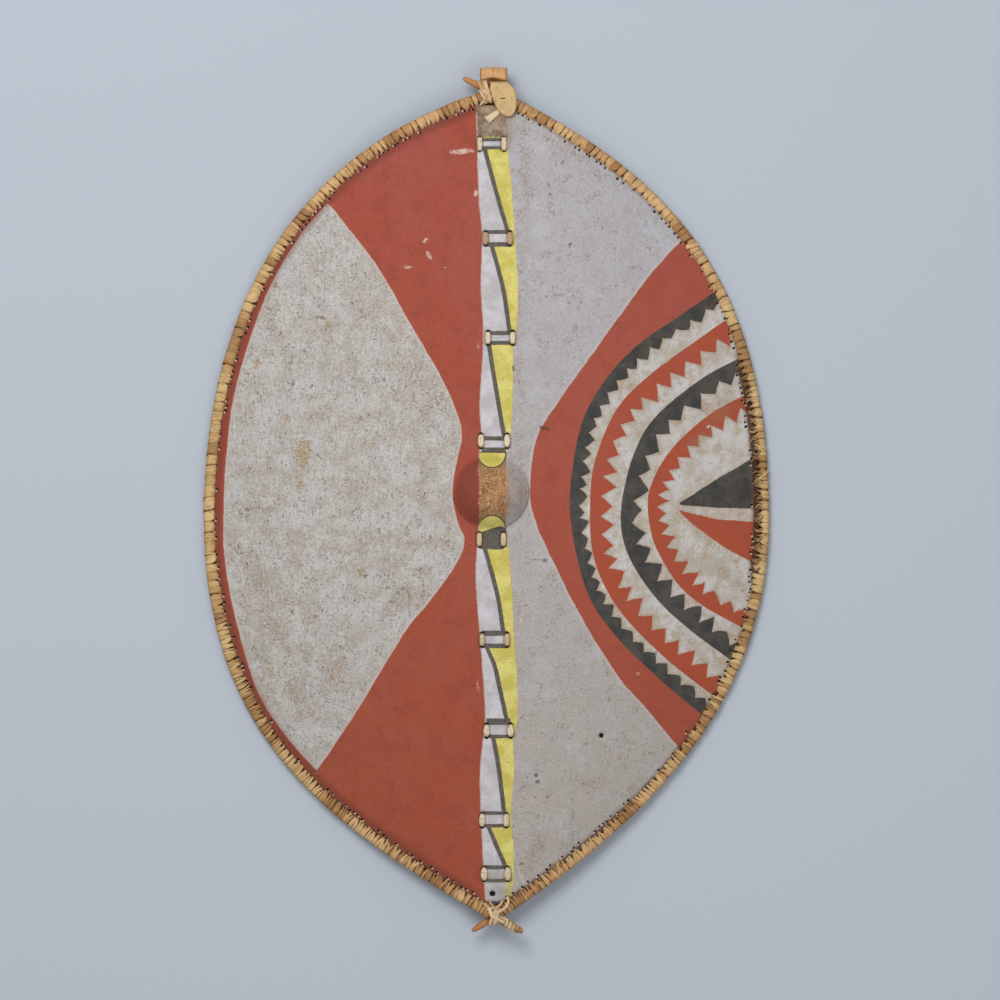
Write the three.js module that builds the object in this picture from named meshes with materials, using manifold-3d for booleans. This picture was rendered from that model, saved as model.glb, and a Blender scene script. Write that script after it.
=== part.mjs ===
// A hide shield of the East African kind, lying face up on its rim.
//
// One sheet of thick stiff hide, cut to a leaf-shaped outline, is crowned along its spine and pushed out
// into a round boss that makes room for the knuckles. Two long sticks follow its edge, cross at the two
// tips and are held there by rawhide lashings. Rawhide bindings wrap the sticks and the edge together. A
// wooden stave runs down the back as the handle, and nine closed thongs lace it through the hide. A folded
// strap and a tongue of rawhide sit on the top tip.
//
// Millimetres. x runs across the shield, y along it to the top tip, and z up through the painted face.
// Shapes are worked out with x = 0 on the spine, and the whole is centred over the origin at the end.

import * as THREE from "three";
import { mergeVertices } from "three/addons/utils/BufferGeometryUtils.js";
import Module from "manifold-3d";

// ---- Driving dimensions ----

const tipTop = 457.5;
const tipBottom = -468.5;

// Each side's edge is two Bezier arcs that meet upright at the widest point. reach and angle set the
// handle at a tip, belly the handle at the widest point, and overrun how far the stick runs past the tip.
const leftEdge = {
  side: -1,
  width: 322.4,
  widestY: -21,
  top: { reach: 214, angle: 0.28, belly: 256, overrun: 15 },
  bottom: { reach: 227, angle: 0.52, belly: 236, overrun: 36 },
};
const rightEdge = {
  side: 1,
  width: 303.4,
  widestY: -20,
  top: { reach: 210, angle: 0.46, belly: 277, overrun: 40 },
  bottom: { reach: 196, angle: 0.58, belly: 211, overrun: 31 },
};

const gap = 0.35; // clearance between pieces that touch
const hide = { thickness: 4.5, crown: 76, inset: 5, tipHalfWidth: 15 };
const rim = { height: 6.8, tipLift: 20, flatHalfLength: 220 };
const stick = { radius: 4.2, crossing: 4.6, crossingRun: 26, taperLength: 16, tipScale: 0.55 };
const binding = { radius: 6.6, bore: 5.05, armReach: 10, armThickness: 1.5, armGap: 0.6 };
const boss = { x: -4, y: 9, radius: 42, height: 29, profile: 2.4, wall: 3.6 };
const stave = { top: 424, bottom: -431, halfWidth: 10, thickness: 12, gap: 0.9, gripBow: 3 };
const thong = { frontWidth: 7.2, legWidth: 4.2, backWidth: 5.2, thickness: 2.4, halfHeight: 7.2 };
const lashing = { width: 8, wall: 2.2, innerHalfHeight: 9.2 };
const tongue = { top: 470, bottom: 431, halfWidth: 14.3, thickness: 2.2, restZ: 37.3, tipZ: 35.6 };
const strap = { left: -17, right: 14, thickness: 2.4 };
const tie = { thickness: 1.6, narrowHalf: 2.5, wideHalf: 4.6 };

// The lacing stations along the spine: how far along, how far the stave sways to the side there, and half
// the distance between the two stitches.
const stations = [
  { y: 400, sway: -3.5, half: 13.6 },
  { y: 293, sway: 3, half: 13.8 },
  { y: 181, sway: 6, half: 13.8 },
  { y: 66, sway: -1, half: 14.6 },
  { y: -44, sway: -4, half: 13.4 },
  { y: -156, sway: -0.5, half: 13.8 },
  { y: -258, sway: 4, half: 13.4 },
  { y: -359, sway: -1, half: 13.4 },
  { y: -420, sway: 1, half: 13.2 },
];

// The two plain holes that go through the hide away from the lacing.
const plainHoles = [
  { x: 119, y: -264, radius: 2.7 },
  { x: -2.8, y: -442.5, radius: 3.1 },
];

const middleY = (tipTop + tipBottom) / 2;
const halfLength = (tipTop - tipBottom) / 2;

// ---- Materials ----

const finish = (color, roughness) =>
  new THREE.MeshStandardMaterial({ color, roughness, metalness: 0 });
const materials = {
  hide: finish(0xa4503f, 0.75),
  rawhide: finish(0xc79a5c, 0.6),
  paleRawhide: finish(0xd9c08c, 0.65),
  wood: finish(0xa9743f, 0.7),
};

// ---- Small tools ----

const smooth = (t) => THREE.MathUtils.smoothstep(t, 0, 1);

function spread(from, to, steps) {
  const values = [];
  for (let i = 0; i <= steps; i++) values.push(THREE.MathUtils.lerp(from, to, i / steps));
  return values;
}

// A closed geometry whose faces are turned outwards if they all point in.
function closed(points, index) {
  const normal = new THREE.Vector3();
  let volume = 0;
  for (let i = 0; i < index.length; i += 3) {
    normal.crossVectors(points[index[i]], points[index[i + 1]]);
    volume += normal.dot(points[index[i + 2]]);
  }
  const turned = volume < 0 ? index.toReversed() : index;
  return new THREE.BufferGeometry().setFromPoints(points).setIndex(turned);
}

// A solid through a row of like sections. contour is the section laid flat, for the end caps; without it
// the row closes on itself.
function loft(sections, contour) {
  const count = sections[0].length;
  const rows = contour ? sections.length - 1 : sections.length;
  const index = [];
  for (let i = 0; i < rows; i++) {
    const here = i * count;
    const next = ((i + 1) % sections.length) * count;
    for (let j = 0; j < count; j++) {
      const k = (j + 1) % count;
      index.push(here + j, here + k, next + k, here + j, next + k, next + j);
    }
  }
  if (contour) {
    const last = rows * count;
    const turn = THREE.ShapeUtils.isClockWise(contour) ? -1 : 1;
    for (const triangle of THREE.ShapeUtils.triangulateShape(contour, [])) {
      const [a, b, c] = turn > 0 ? triangle : triangle.toReversed();
      index.push(c, b, a, last + a, last + b, last + c);
    }
  }
  return closed(sections.flat(), index);
}

// A flat strip through rows of { left, right, up }.
function strip(rows, thickness) {
  const sections = rows.map(({ left, right, up }) => {
    const half = up.clone().multiplyScalar(thickness / 2);
    return [
      left.clone().sub(half),
      right.clone().sub(half),
      right.clone().add(half),
      left.clone().add(half),
    ];
  });
  const square = [[0, 0], [1, 0], [1, 1], [0, 1]].map(([x, y]) => new THREE.Vector2(x, y));
  return loft(sections, square);
}

const manifold = await Module();
manifold.setup();

function toSolid(geometry, matrix = new THREE.Matrix4()) {
  const bare = new THREE.BufferGeometry()
    .setAttribute("position", geometry.getAttribute("position").clone())
    .setIndex(geometry.index)
    .applyMatrix4(matrix);
  const merged = mergeVertices(bare, 1e-4);
  return new manifold.Manifold(
    new manifold.Mesh({
      numProp: 3,
      vertProperties: merged.attributes.position.array,
      triVerts: new Uint32Array(merged.index.array),
    }),
  );
}

function fromSolid(solid) {
  const mesh = solid.getMesh();
  return new THREE.BufferGeometry()
    .setAttribute("position", new THREE.BufferAttribute(mesh.vertProperties, 3))
    .setIndex(new THREE.BufferAttribute(mesh.triVerts, 1));
}

const shield = new THREE.Group();

function addPiece(name, geometry, material) {
  const mesh = new THREE.Mesh(geometry, material.clone());
  mesh.name = name;
  shield.add(mesh);
  return mesh;
}

// ---- The surface that everything follows ----

// The rim's centre line seen from above, from the top tip to the bottom tip.
function edgePath({ side, width, widestY, top, bottom }) {
  const widest = new THREE.Vector2(side * width, widestY);
  const handle = ({ reach, angle }, up) =>
    new THREE.Vector2(side * reach * Math.cos(angle), up * reach * Math.sin(angle));
  const topTip = new THREE.Vector2(0, tipTop);
  const bottomTip = new THREE.Vector2(0, tipBottom);
  const path = new THREE.CurvePath();
  path.add(
    new THREE.CubicBezierCurve(
      topTip,
      handle(top, -1).add(topTip),
      new THREE.Vector2(widest.x, widestY + top.belly),
      widest,
    ),
  );
  path.add(
    new THREE.CubicBezierCurve(
      widest,
      new THREE.Vector2(widest.x, widestY - bottom.belly),
      handle(bottom, 1).add(bottomTip),
      bottomTip,
    ),
  );
  return path;
}

// |x| of an outline at height y, from its points in falling y.
function widthAt(points, y) {
  const next = points.findIndex((p) => p.y <= y);
  if (next === 0) return Math.abs(points[0].x);
  if (next < 0) return Math.abs(points.at(-1).x);
  const [above, below] = [points[next - 1], points[next]];
  const share = (y - below.y) / (above.y - below.y);
  return Math.abs(THREE.MathUtils.lerp(below.x, above.x, share));
}

for (const edge of [leftEdge, rightEdge]) {
  edge.path = edgePath(edge);
  edge.length = edge.path.getLength();
  edge.outline = edge.path.getPoints(160);
}

// Height of the rim's centre line: flat along the middle, lifting towards both tips.
function rimHeight(y) {
  const run = Math.abs(y - middleY) - rim.flatHalfLength;
  const share = THREE.MathUtils.clamp(run / (halfLength - rim.flatHalfLength), 0, 1);
  return rim.height + rim.tipLift * share ** 2;
}

// Height of the hide's middle surface without its boss.
function surfaceHeight(x, y) {
  const edge = x < 0 ? leftEdge : rightEdge;
  const along = (y - middleY) / halfLength;
  const rise = hide.crown * Math.max(0, 1 - along ** 2);
  const across = Math.min(1, Math.abs(x) / Math.max(widthAt(edge.outline, y), 0.01));
  return rimHeight(y) + rise * (1 - 0.3 * across ** 1.5 - 0.7 * across ** 2);
}

function surfaceNormal(x, y) {
  const step = 0.5;
  const slopeX = (surfaceHeight(x + step, y) - surfaceHeight(x - step, y)) / (2 * step);
  const slopeY = (surfaceHeight(x, y + step) - surfaceHeight(x, y - step)) / (2 * step);
  return new THREE.Vector3(-slopeX, -slopeY, 1).normalize();
}

const onSurface = (x, y, lift) =>
  new THREE.Vector3(x, y, surfaceHeight(x, y)).addScaledVector(surfaceNormal(x, y), lift);

// ---- Hide ----

// The hide's own outline, inset from the rim's centre line so that the stick lies along its edge.
function insetOutline(edge) {
  const points = spread(0, 1, 240).map((share) => {
    const along = edge.path.getTangentAt(share);
    const inward = new THREE.Vector2(along.y, -along.x).multiplyScalar(edge.side * hide.inset);
    return edge.path.getPointAt(share).add(inward);
  });
  return points.filter((p) => p.x * edge.side >= hide.tipHalfWidth);
}

function hideSheet() {
  const outlines = [insetOutline(leftEdge), insetOutline(rightEdge)];
  const top = Math.min(...outlines.map((o) => o[0].y));
  const bottom = Math.max(...outlines.map((o) => o.at(-1).y));
  const rows = 26;
  const columnsPerSide = 10;
  const crowding = 1.3; // columns stand closer together at the spine
  const upper = [];
  const lower = [];
  for (let i = 0; i <= rows; i++) {
    // Rows stand closer together at the tips.
    const eased = (1 - Math.cos((Math.PI * i) / rows)) / 2;
    const y = THREE.MathUtils.lerp(bottom, top, (eased + i / rows) / 2);
    for (let j = -columnsPerSide; j <= columnsPerSide; j++) {
      const width = widthAt(outlines[j < 0 ? 0 : 1], y);
      const x = Math.sign(j) * width * (Math.abs(j) / columnsPerSide) ** crowding;
      upper.push(onSurface(x, y, hide.thickness / 2));
      lower.push(onSurface(x, y, -hide.thickness / 2));
    }
  }
  const across = 2 * columnsPerSide + 1;
  const under = upper.length;
  const index = [];
  for (let i = 0; i < rows; i++) {
    for (let j = 0; j + 1 < across; j++) {
      const a = i * across + j;
      const [b, c, d] = [a + 1, a + 1 + across, a + across];
      index.push(a, b, c, a, c, d);
      index.push(under + a, under + c, under + b, under + a, under + d, under + c);
    }
  }
  const border = [];
  for (let j = 0; j + 1 < across; j++) border.push(j);
  for (let i = 0; i < rows; i++) border.push(i * across + across - 1);
  for (let j = across - 1; j > 0; j--) border.push(rows * across + j);
  for (let i = rows; i > 0; i--) border.push(i * across);
  border.forEach((a, k) => {
    const b = border[(k + 1) % border.length];
    index.push(a, under + b, b, a, under + a, under + b);
  });
  return closed([...upper, ...lower], index);
}

// The boss, or the hollow under it: a dome over the middle surface. roof and floor are the offsets of its
// skirt's upper and lower edges from that surface.
function dome(radius, roof, floor) {
  const rings = 5;
  const spokes = 22;
  const crownRadius = 0.4; // the dome closes in a tiny flat
  const ring = (share, lift) =>
    spread(0, 2 * Math.PI, spokes)
      .slice(0, spokes)
      .map((turn) => {
        const r = Math.max(crownRadius, radius * share);
        const x = boss.x + r * Math.cos(turn);
        const y = boss.y + r * Math.sin(turn);
        return new THREE.Vector3(x, y, surfaceHeight(x, y) + lift);
      });
  const shares = spread(0, 1, rings).map((t) => Math.sin((Math.PI / 2) * t) ** 0.8);
  const sections = shares.map((share) => ring(share, roof + boss.height * (1 - share ** boss.profile)));
  sections.push(ring(1, floor));
  const contour = sections[0].map((p) => new THREE.Vector2(p.x, p.y));
  return loft(sections, contour);
}

// Sets an object on the spine, turned to the spine's own slope.
function placeOnSpine(object, x, y) {
  const slope = (surfaceHeight(x, y + 4) - surfaceHeight(x, y - 4)) / 8;
  object.position.set(x, y, surfaceHeight(x, y));
  object.rotation.x = Math.atan(slope);
  object.updateMatrix();
  return object;
}

function addHide() {
  const half = hide.thickness / 2;
  const hollowDepth = 4; // how far the hollow's cutter reaches below the sheet
  let solid = toSolid(hideSheet());
  solid = solid.add(toSolid(dome(boss.radius, half, 0)));
  solid = solid.subtract(toSolid(dome(boss.radius - boss.wall, -half, -half - hollowDepth)));
  const slot = new THREE.BoxGeometry(thong.legWidth + 1, thong.thickness + 1.6, 16);
  for (const { y, sway, half: reach } of stations) {
    const station = placeOnSpine(new THREE.Object3D(), sway, y);
    for (const x of [-reach, reach]) {
      for (const side of [-1, 1]) {
        const place = new THREE.Matrix4().makeTranslation(x, side * thong.halfHeight, 0);
        solid = solid.subtract(toSolid(slot, place.premultiply(station.matrix)));
      }
    }
  }
  for (const { x, y, radius } of plainHoles) {
    const drill = new THREE.CylinderGeometry(radius, radius, 20, 10).rotateX(Math.PI / 2);
    const place = new THREE.Matrix4().makeTranslation(x, y, surfaceHeight(x, y));
    solid = solid.subtract(toSolid(drill, place));
  }
  addPiece("hide", fromSolid(solid), materials.hide);
}

// ---- Rim: two sticks and their rawhide bindings ----

// Sections of a rim piece at lengths measured from the top tip. Each point of contour(s) is (inwards along
// the hide, up from it). Past a tip the piece runs straight on. over is how far it passes over the other
// side's stick at the tips.
function rimSections(edge, lengths, over, contour) {
  return lengths.map((s) => {
    const share = THREE.MathUtils.clamp(s / edge.length, 0, 1);
    const along = edge.path.getTangentAt(share);
    const past = s - share * edge.length;
    const at = edge.path.getPointAt(share).addScaledVector(along, past);
    const inward = new THREE.Vector2(along.y, -along.x).multiplyScalar(edge.side);
    const inside = at.clone().addScaledVector(inward, 5);
    const tangent = new THREE.Vector3(along.x, along.y, 0);
    const across = surfaceNormal(inside.x, inside.y).cross(tangent).normalize();
    across.multiplyScalar(Math.sign(across.x * inward.x + across.y * inward.y));
    const up = new THREE.Vector3().crossVectors(across, tangent).normalize();
    up.multiplyScalar(Math.sign(up.z));
    const toTip = Math.min(s, edge.length - s);
    const lift = over * smooth((stick.crossingRun - toTip) / (stick.crossingRun - 6));
    const centre = new THREE.Vector3(at.x, at.y, rimHeight(at.y) + lift);
    return contour(s).map((p) =>
      centre.clone().addScaledVector(across, p.x).addScaledVector(up, p.y),
    );
  });
}

function arc(radius, from, to, steps) {
  return spread(from, to, steps).map((degrees) => {
    const angle = THREE.MathUtils.degToRad(degrees);
    return new THREE.Vector2(radius * Math.cos(angle), radius * Math.sin(angle));
  });
}

// A tube round the stick with two arms that lie on the two faces of the hide.
function bindingContour() {
  const { radius, bore, armReach, armThickness, armGap } = binding;
  const clear = hide.thickness / 2 + armGap;
  return [
    new THREE.Vector2(armReach, clear),
    new THREE.Vector2(armReach, clear + armThickness),
    ...arc(radius, 55, 305, 5),
    new THREE.Vector2(armReach, -clear - armThickness),
    new THREE.Vector2(armReach, -clear),
    ...arc(bore, 320, 40, 5),
  ];
}

function addRim(edge, word, over) {
  const end = edge.length;
  const run = stick.crossingRun;
  const first = -edge.top.overrun;
  const last = end + edge.bottom.overrun;
  const wrapped = spread(run, end - run, 34);
  const lengths = [
    first,
    ...spread(Math.min(-2, first + stick.taperLength), run, 4).slice(0, -1),
    ...wrapped,
    ...spread(end - run, Math.max(end + 2, last - stick.taperLength), 4).slice(1),
    last,
  ];
  const circle = arc(stick.radius, 0, 360, 6).slice(1);
  const tapered = (s) => {
    const toEnd = Math.min(s - first, last - s) / stick.taperLength;
    const scale = THREE.MathUtils.lerp(stick.tipScale, 1, Math.sqrt(Math.min(1, toEnd)));
    return circle.map((p) => p.clone().multiplyScalar(scale));
  };
  const stickSections = rimSections(edge, lengths, over, tapered);
  addPiece("rim_stick_" + word, loft(stickSections, circle), materials.wood);
  const wrap = bindingContour();
  const wrapSections = rimSections(edge, wrapped, 0, () => wrap);
  addPiece("rim_binding_" + word, loft(wrapSections, wrap), materials.rawhide);
}

// ---- Handle stave and its lacing ----

function swayAt(y) {
  const next = stations.findIndex((s) => s.y <= y);
  if (next === 0) return stations[0].sway;
  if (next < 0) return stations.at(-1).sway;
  const [above, below] = [stations[next - 1], stations[next]];
  return THREE.MathUtils.lerp(below.sway, above.sway, smooth((y - below.y) / (above.y - below.y)));
}

// The stave thins and narrows towards its ends.
function staveHalves(y) {
  const fromEnd = Math.min(stave.top - y, y - stave.bottom);
  const full = smooth(fromEnd / 160);
  return {
    thick: (stave.thickness / 2) * (0.68 + 0.32 * full),
    wide: stave.halfWidth * (0.9 + 0.1 * full),
  };
}

// The stave's upper face, which bows a little away from the hide under the boss.
function staveTop(x, y) {
  const bow = stave.gripBow * smooth(1 - Math.abs(y - boss.y) / 50);
  return surfaceHeight(x, y) - hide.thickness / 2 - stave.gap - bow;
}

function addStave() {
  const gripFlat = 18; // half the length of the level stretch under the boss
  const ys = [
    ...spread(stave.bottom, boss.y - 64, 11),
    ...spread(boss.y - 46, boss.y - gripFlat, 2),
    ...spread(boss.y + gripFlat, boss.y + 46, 2),
    ...spread(boss.y + 64, stave.top, 11),
  ];
  const octagon = [
    [1, 0.45], [0.6, 1], [-0.6, 1], [-1, 0.45], [-1, -0.45], [-0.6, -1], [0.6, -1], [1, -0.45],
  ].map(([x, z]) => new THREE.Vector2(x, z));
  const sections = ys.map((y) => {
    const level = Math.abs(y - boss.y) <= gripFlat;
    const x = swayAt(y);
    const { thick, wide } = staveHalves(y);
    const z = staveTop(level ? 0 : x, level ? boss.y : y) - thick;
    return octagon.map((p) => new THREE.Vector3(x + p.x * wide, y, z + p.y * thick));
  });
  addPiece("handle_stave", loft(sections, octagon), materials.wood);
}

// One closed thong: a stitch on the front at each side, four legs through the hide, and two runs across
// the back of the stave. Local z is 0 on the hide's middle surface.
function thongLoop({ y, sway, half: reach }) {
  const { frontWidth, legWidth, backWidth, thickness, halfHeight: high } = thong;
  const { thick, wide } = staveHalves(y);
  const under = -hide.thickness / 2;
  const front = hide.thickness / 2 + gap + thickness / 2;
  const back = staveTop(sway, y) - surfaceHeight(sway, y) - 2 * thick - gap - thickness / 2;
  const beside = wide + gap + thickness / 2;
  const diagonal = Math.SQRT1_2;
  // Each row has the strip's centre, its sideways and outward directions, and its width. They run from
  // the middle of the left stitch through the hide to the back of the stave.
  const leftRows = [
    { p: [-reach, 0, front], side: [1, 0, 0], out: [0, 0, 1], width: frontWidth },
    { p: [-reach, high - 2.4, front], side: [1, 0, 0], out: [0, 0, 1], width: legWidth + 0.8 },
    { p: [-reach, high, front - 0.8], side: [1, 0, 0], out: [0, diagonal, diagonal], width: legWidth },
    { p: [-reach, high, under - 0.1], side: [1, 0, 0], out: [0, 1, 0], width: legWidth },
    {
      p: [-reach, high, under - 1.6],
      side: [diagonal, diagonal, 0],
      out: [-diagonal, diagonal, 0],
      width: legWidth,
    },
    { p: [-beside, high, back], side: [0, 1, 0], out: [-diagonal, 0, -diagonal], width: backWidth },
  ];
  const mirror = ([x, ...rest]) => [-x, ...rest];
  const rightRows = leftRows
    .slice(1)
    .toReversed()
    .map((row) => ({ ...row, p: mirror(row.p), side: mirror(row.side), out: mirror(row.out) }));
  const corners = [[-1, -1], [1, -1], [1, 1], [-1, 1]];
  const upperHalf = [...leftRows, ...rightRows].map(({ p, side, out, width }) =>
    corners.map(([a, b]) =>
      new THREE.Vector3(...p)
        .addScaledVector(new THREE.Vector3(...side), (a * width) / 2)
        .addScaledVector(new THREE.Vector3(...out), (b * thickness) / 2),
    ),
  );
  const lowerHalf = upperHalf.map((row) => row.map((p) => new THREE.Vector3(-p.x, -p.y, p.z)));
  return loft([...upperHalf, ...lowerHalf]);
}

function addLacing() {
  stations.forEach((station, i) => {
    const mesh = addPiece("spine_lacing_" + (i + 1), thongLoop(station), materials.paleRawhide);
    placeOnSpine(mesh, station.sway, station.y);
  });
}

// ---- Tips ----

// A rounded ring of rawhide round the two crossing sticks, as wide as lashing.width along x.
function addLashing(name, x, y, innerHalfY) {
  const ringPath = (halfY, halfZ, radius) => {
    const path = new THREE.Shape();
    path.absarc(halfY - radius, halfZ - radius, radius, 0, Math.PI / 2);
    path.absarc(radius - halfY, halfZ - radius, radius, Math.PI / 2, Math.PI);
    path.absarc(radius - halfY, radius - halfZ, radius, Math.PI, 1.5 * Math.PI);
    path.absarc(halfY - radius, radius - halfZ, radius, 1.5 * Math.PI, 2 * Math.PI);
    return path;
  };
  const { width, wall, innerHalfHeight } = lashing;
  const ring = ringPath(innerHalfY + wall, innerHalfHeight + wall, 2 + wall);
  ring.holes.push(ringPath(innerHalfY, innerHalfHeight, 2));
  const geometry = new THREE.ExtrudeGeometry(ring, {
    depth: width,
    curveSegments: 1,
    bevelEnabled: false,
  });
  geometry.translate(0, 0, -width / 2);
  const axes = [new THREE.Vector3(0, 1, 0), new THREE.Vector3(0, 0, 1), new THREE.Vector3(1, 0, 0)];
  geometry.applyMatrix4(new THREE.Matrix4().makeBasis(...axes));
  addPiece(name, geometry, materials.paleRawhide).position.set(x, y, rimHeight(y));
}

// The tongue lies on the crossing sticks and slopes down to the hide.
function addTongue() {
  const { top, bottom, halfWidth, thickness, restZ, tipZ } = tongue;
  const restY = 455;
  const slope = (restZ - tipZ) / (restY - bottom);
  const rows = spread(0, 1, 9).map((share) => {
    const y = THREE.MathUtils.lerp(top, bottom, share ** 0.7);
    const v = (top - y) / (top - bottom);
    const centre = 3.6 + 11 * v ** 0.6;
    const fullness = Math.sqrt(Math.max(0.01, 1 - v ** 3.2));
    const half = halfWidth * fullness * (0.7 + 0.3 * smooth(v / 0.25));
    const sloping = y < restY;
    const z = sloping ? restZ - slope * (restY - y) : restZ;
    return {
      left: new THREE.Vector3(centre - half, y, z),
      right: new THREE.Vector3(centre + half, y, z),
      up: new THREE.Vector3(0, sloping ? -slope : 0, 1).normalize(),
    };
  });
  const slit = new THREE.BoxGeometry(5.4, 1.6, 12);
  const slitPlace = new THREE.Matrix4().makeTranslation(8.8, 452.5, restZ);
  const solid = toSolid(strip(rows, thickness)).subtract(toSolid(slit, slitPlace));
  addPiece("hanging_tongue", fromSolid(solid), materials.paleRawhide);
}

// The strap is a wide strip folded round the top tip, from the back of the hide to just above the tongue.
function addStrap() {
  const route = new THREE.CatmullRomCurve3(
    [
      [427, 25.4], [432, 19.5], [439, 13.4], [448, 13], [461, 13.2], [474, 13.4], [483, 17], [486, 25], [483, 32.5],
      [473.6, 34.8],
    ].map(([y, z]) => new THREE.Vector3(0, y, z)),
  );
  const rows = spread(0, 1, 14).map((share) => {
    const at = route.getPointAt(share);
    const along = route.getTangentAt(share);
    return {
      left: new THREE.Vector3(strap.left, at.y, at.z),
      right: new THREE.Vector3(strap.right, at.y, at.z),
      up: new THREE.Vector3(0, -along.z, along.y),
    };
  });
  addPiece("hanging_strap", strip(rows, strap.thickness), materials.rawhide);
}

// The loose end of the strip that ties the tongue down, lying on the hide.
function addTie() {
  const from = new THREE.Vector2(5, 437);
  const to = new THREE.Vector2(-9.3, 426);
  const along = to.clone().sub(from).normalize();
  const sideways = new THREE.Vector2(-along.y, along.x);
  const lift = hide.thickness / 2 + gap + tie.thickness / 2;
  const rows = spread(0, 1, 3).map((share) => {
    const at = from.clone().lerp(to, share);
    const half = THREE.MathUtils.lerp(tie.narrowHalf, tie.wideHalf, share);
    return {
      left: onSurface(at.x - sideways.x * half, at.y - sideways.y * half, lift),
      right: onSurface(at.x + sideways.x * half, at.y + sideways.y * half, lift),
      up: surfaceNormal(at.x, at.y),
    };
  });
  addPiece("tongue_tie", strip(rows, tie.thickness), materials.paleRawhide);
}

addHide();
addRim(leftEdge, "left", stick.crossing);
addRim(rightEdge, "right", -stick.crossing);
addStave();
addLacing();
addLashing("tip_lashing_top", -10.8, 459.3, 10.7);
addLashing("tip_lashing_bottom", 0, tipBottom, 8);
addTongue();
addStrap();
addTie();

const bounds = new THREE.Box3().setFromObject(shield, true);
const middle = bounds.getCenter(new THREE.Vector3());
shield.position.set(-middle.x, -middle.y, -bounds.min.z);

export default shield;
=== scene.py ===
import math

import bmesh
import bpy
import numpy as np
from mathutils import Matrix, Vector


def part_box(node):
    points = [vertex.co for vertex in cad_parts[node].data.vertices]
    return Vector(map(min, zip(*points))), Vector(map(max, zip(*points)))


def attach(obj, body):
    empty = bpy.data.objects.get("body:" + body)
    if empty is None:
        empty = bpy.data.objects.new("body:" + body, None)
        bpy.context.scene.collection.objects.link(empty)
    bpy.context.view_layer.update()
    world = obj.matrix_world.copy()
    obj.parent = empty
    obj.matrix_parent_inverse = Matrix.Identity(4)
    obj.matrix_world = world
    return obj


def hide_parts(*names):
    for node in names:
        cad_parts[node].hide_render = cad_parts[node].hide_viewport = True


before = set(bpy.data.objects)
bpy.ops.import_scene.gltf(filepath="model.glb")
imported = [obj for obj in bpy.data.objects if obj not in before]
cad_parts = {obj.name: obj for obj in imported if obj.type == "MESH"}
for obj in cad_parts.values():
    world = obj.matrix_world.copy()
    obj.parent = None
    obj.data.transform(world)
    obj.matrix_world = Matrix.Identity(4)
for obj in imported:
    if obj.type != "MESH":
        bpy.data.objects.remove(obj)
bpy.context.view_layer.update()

# A hide shield of the East African kind, lying face up. Shapes are worked out in millimetres, with x = 0 on
# the spine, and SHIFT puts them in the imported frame.

MM = 0.001

# ---- Driving dimensions, as in the solids ----

TIP_TOP = 457.5
TIP_BOTTOM = -468.5
MIDDLE_Y = (TIP_TOP + TIP_BOTTOM) / 2
HALF_LENGTH = (TIP_TOP - TIP_BOTTOM) / 2

HIDE_HALF = 2.25
HIDE_CROWN = 76.0
HIDE_INSET = 5.0
HIDE_TIP_HALF_WIDTH = 15.0
RIM_HEIGHT = 6.8
RIM_TIP_LIFT = 20.0
RIM_FLAT_HALF_LENGTH = 220.0
STICK_RADIUS = 4.2
STICK_CROSSING = 4.6
CROSSING_RUN = 26.0
BOSS_X = -4.0
BOSS_Y = 9.0
BOSS_RADIUS = 42.0
BOSS_HEIGHT = 29.0
BOSS_PROFILE = 2.4
BOSS_WALL = 3.6
STAVE_TOP = 424.0
STAVE_BOTTOM = -431.0
STAVE_HALF_WIDTH = 10.0
STAVE_HALF_THICKNESS = 6.0
STAVE_GAP = 0.9
GRIP_BOW = 3.0
# The wooden pieces are drawn a little slimmer than their solids, to leave room for their unevenness.
WOOD_SCALE = 0.97

# Lacing stations: y, sway of the stave, half the distance between the two stitches.
STATIONS = [
    (400, -3.5, 13.6), (293, 3, 13.8), (181, 6, 13.8), (66, -1, 14.6), (-44, -4, 13.4),
    (-156, -0.5, 13.8), (-258, 4, 13.4), (-359, -1, 13.4), (-420, 1, 13.2),
]
STATION_Y, STATION_SWAY, STATION_HALF = np.array(STATIONS, float).T
STITCH_HOLE = 6.6
PLAIN_HOLES = [(119, -264, 2.7), (-2.8, -442.5, 3.1)]


# ---- Small tools ----

def smooth(t):
    t = np.clip(t, 0.0, 1.0)
    return t * t * (3 - 2 * t)


def unit(v):
    return v / np.maximum(np.linalg.norm(v, axis=-1, keepdims=True), 1e-9)


def vec(*values):
    return np.stack(np.broadcast_arrays(*[np.asarray(v, float) for v in values]), axis=-1)


def run_along(path):
    """The length along a path up to each of its points."""
    return np.concatenate([[0.0], np.cumsum(np.linalg.norm(np.diff(path, axis=0), axis=1))])


def around(count):
    return np.arange(count) / count * 2 * math.pi


def bezier(a, b, c, d, steps=400):
    t = np.linspace(0, 1, steps + 1)[:, None]
    return (1 - t) ** 3 * a + 3 * (1 - t) ** 2 * t * b + 3 * (1 - t) * t * t * c + t ** 3 * d


def through(points, steps=8, closed=False):
    """A smooth line through points, with steps stretches between each two."""
    points = np.asarray(points, float)
    count = len(points)
    t = np.arange(steps)[:, None] / steps
    rows = []
    for i in range(count if closed else count - 1):
        picks = [(i + k) % count if closed else min(max(i + k, 0), count - 1) for k in (-1, 0, 1, 2)]
        a, b, c, d = points[picks]
        bend = (2 * a - 5 * b + 4 * c - d) * t * t + (3 * b - a - 3 * c + d) * t ** 3
        rows.append(b + 0.5 * ((c - a) * t + bend))
    if not closed:
        rows.append(points[-1:])
    return np.concatenate(rows)


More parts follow.
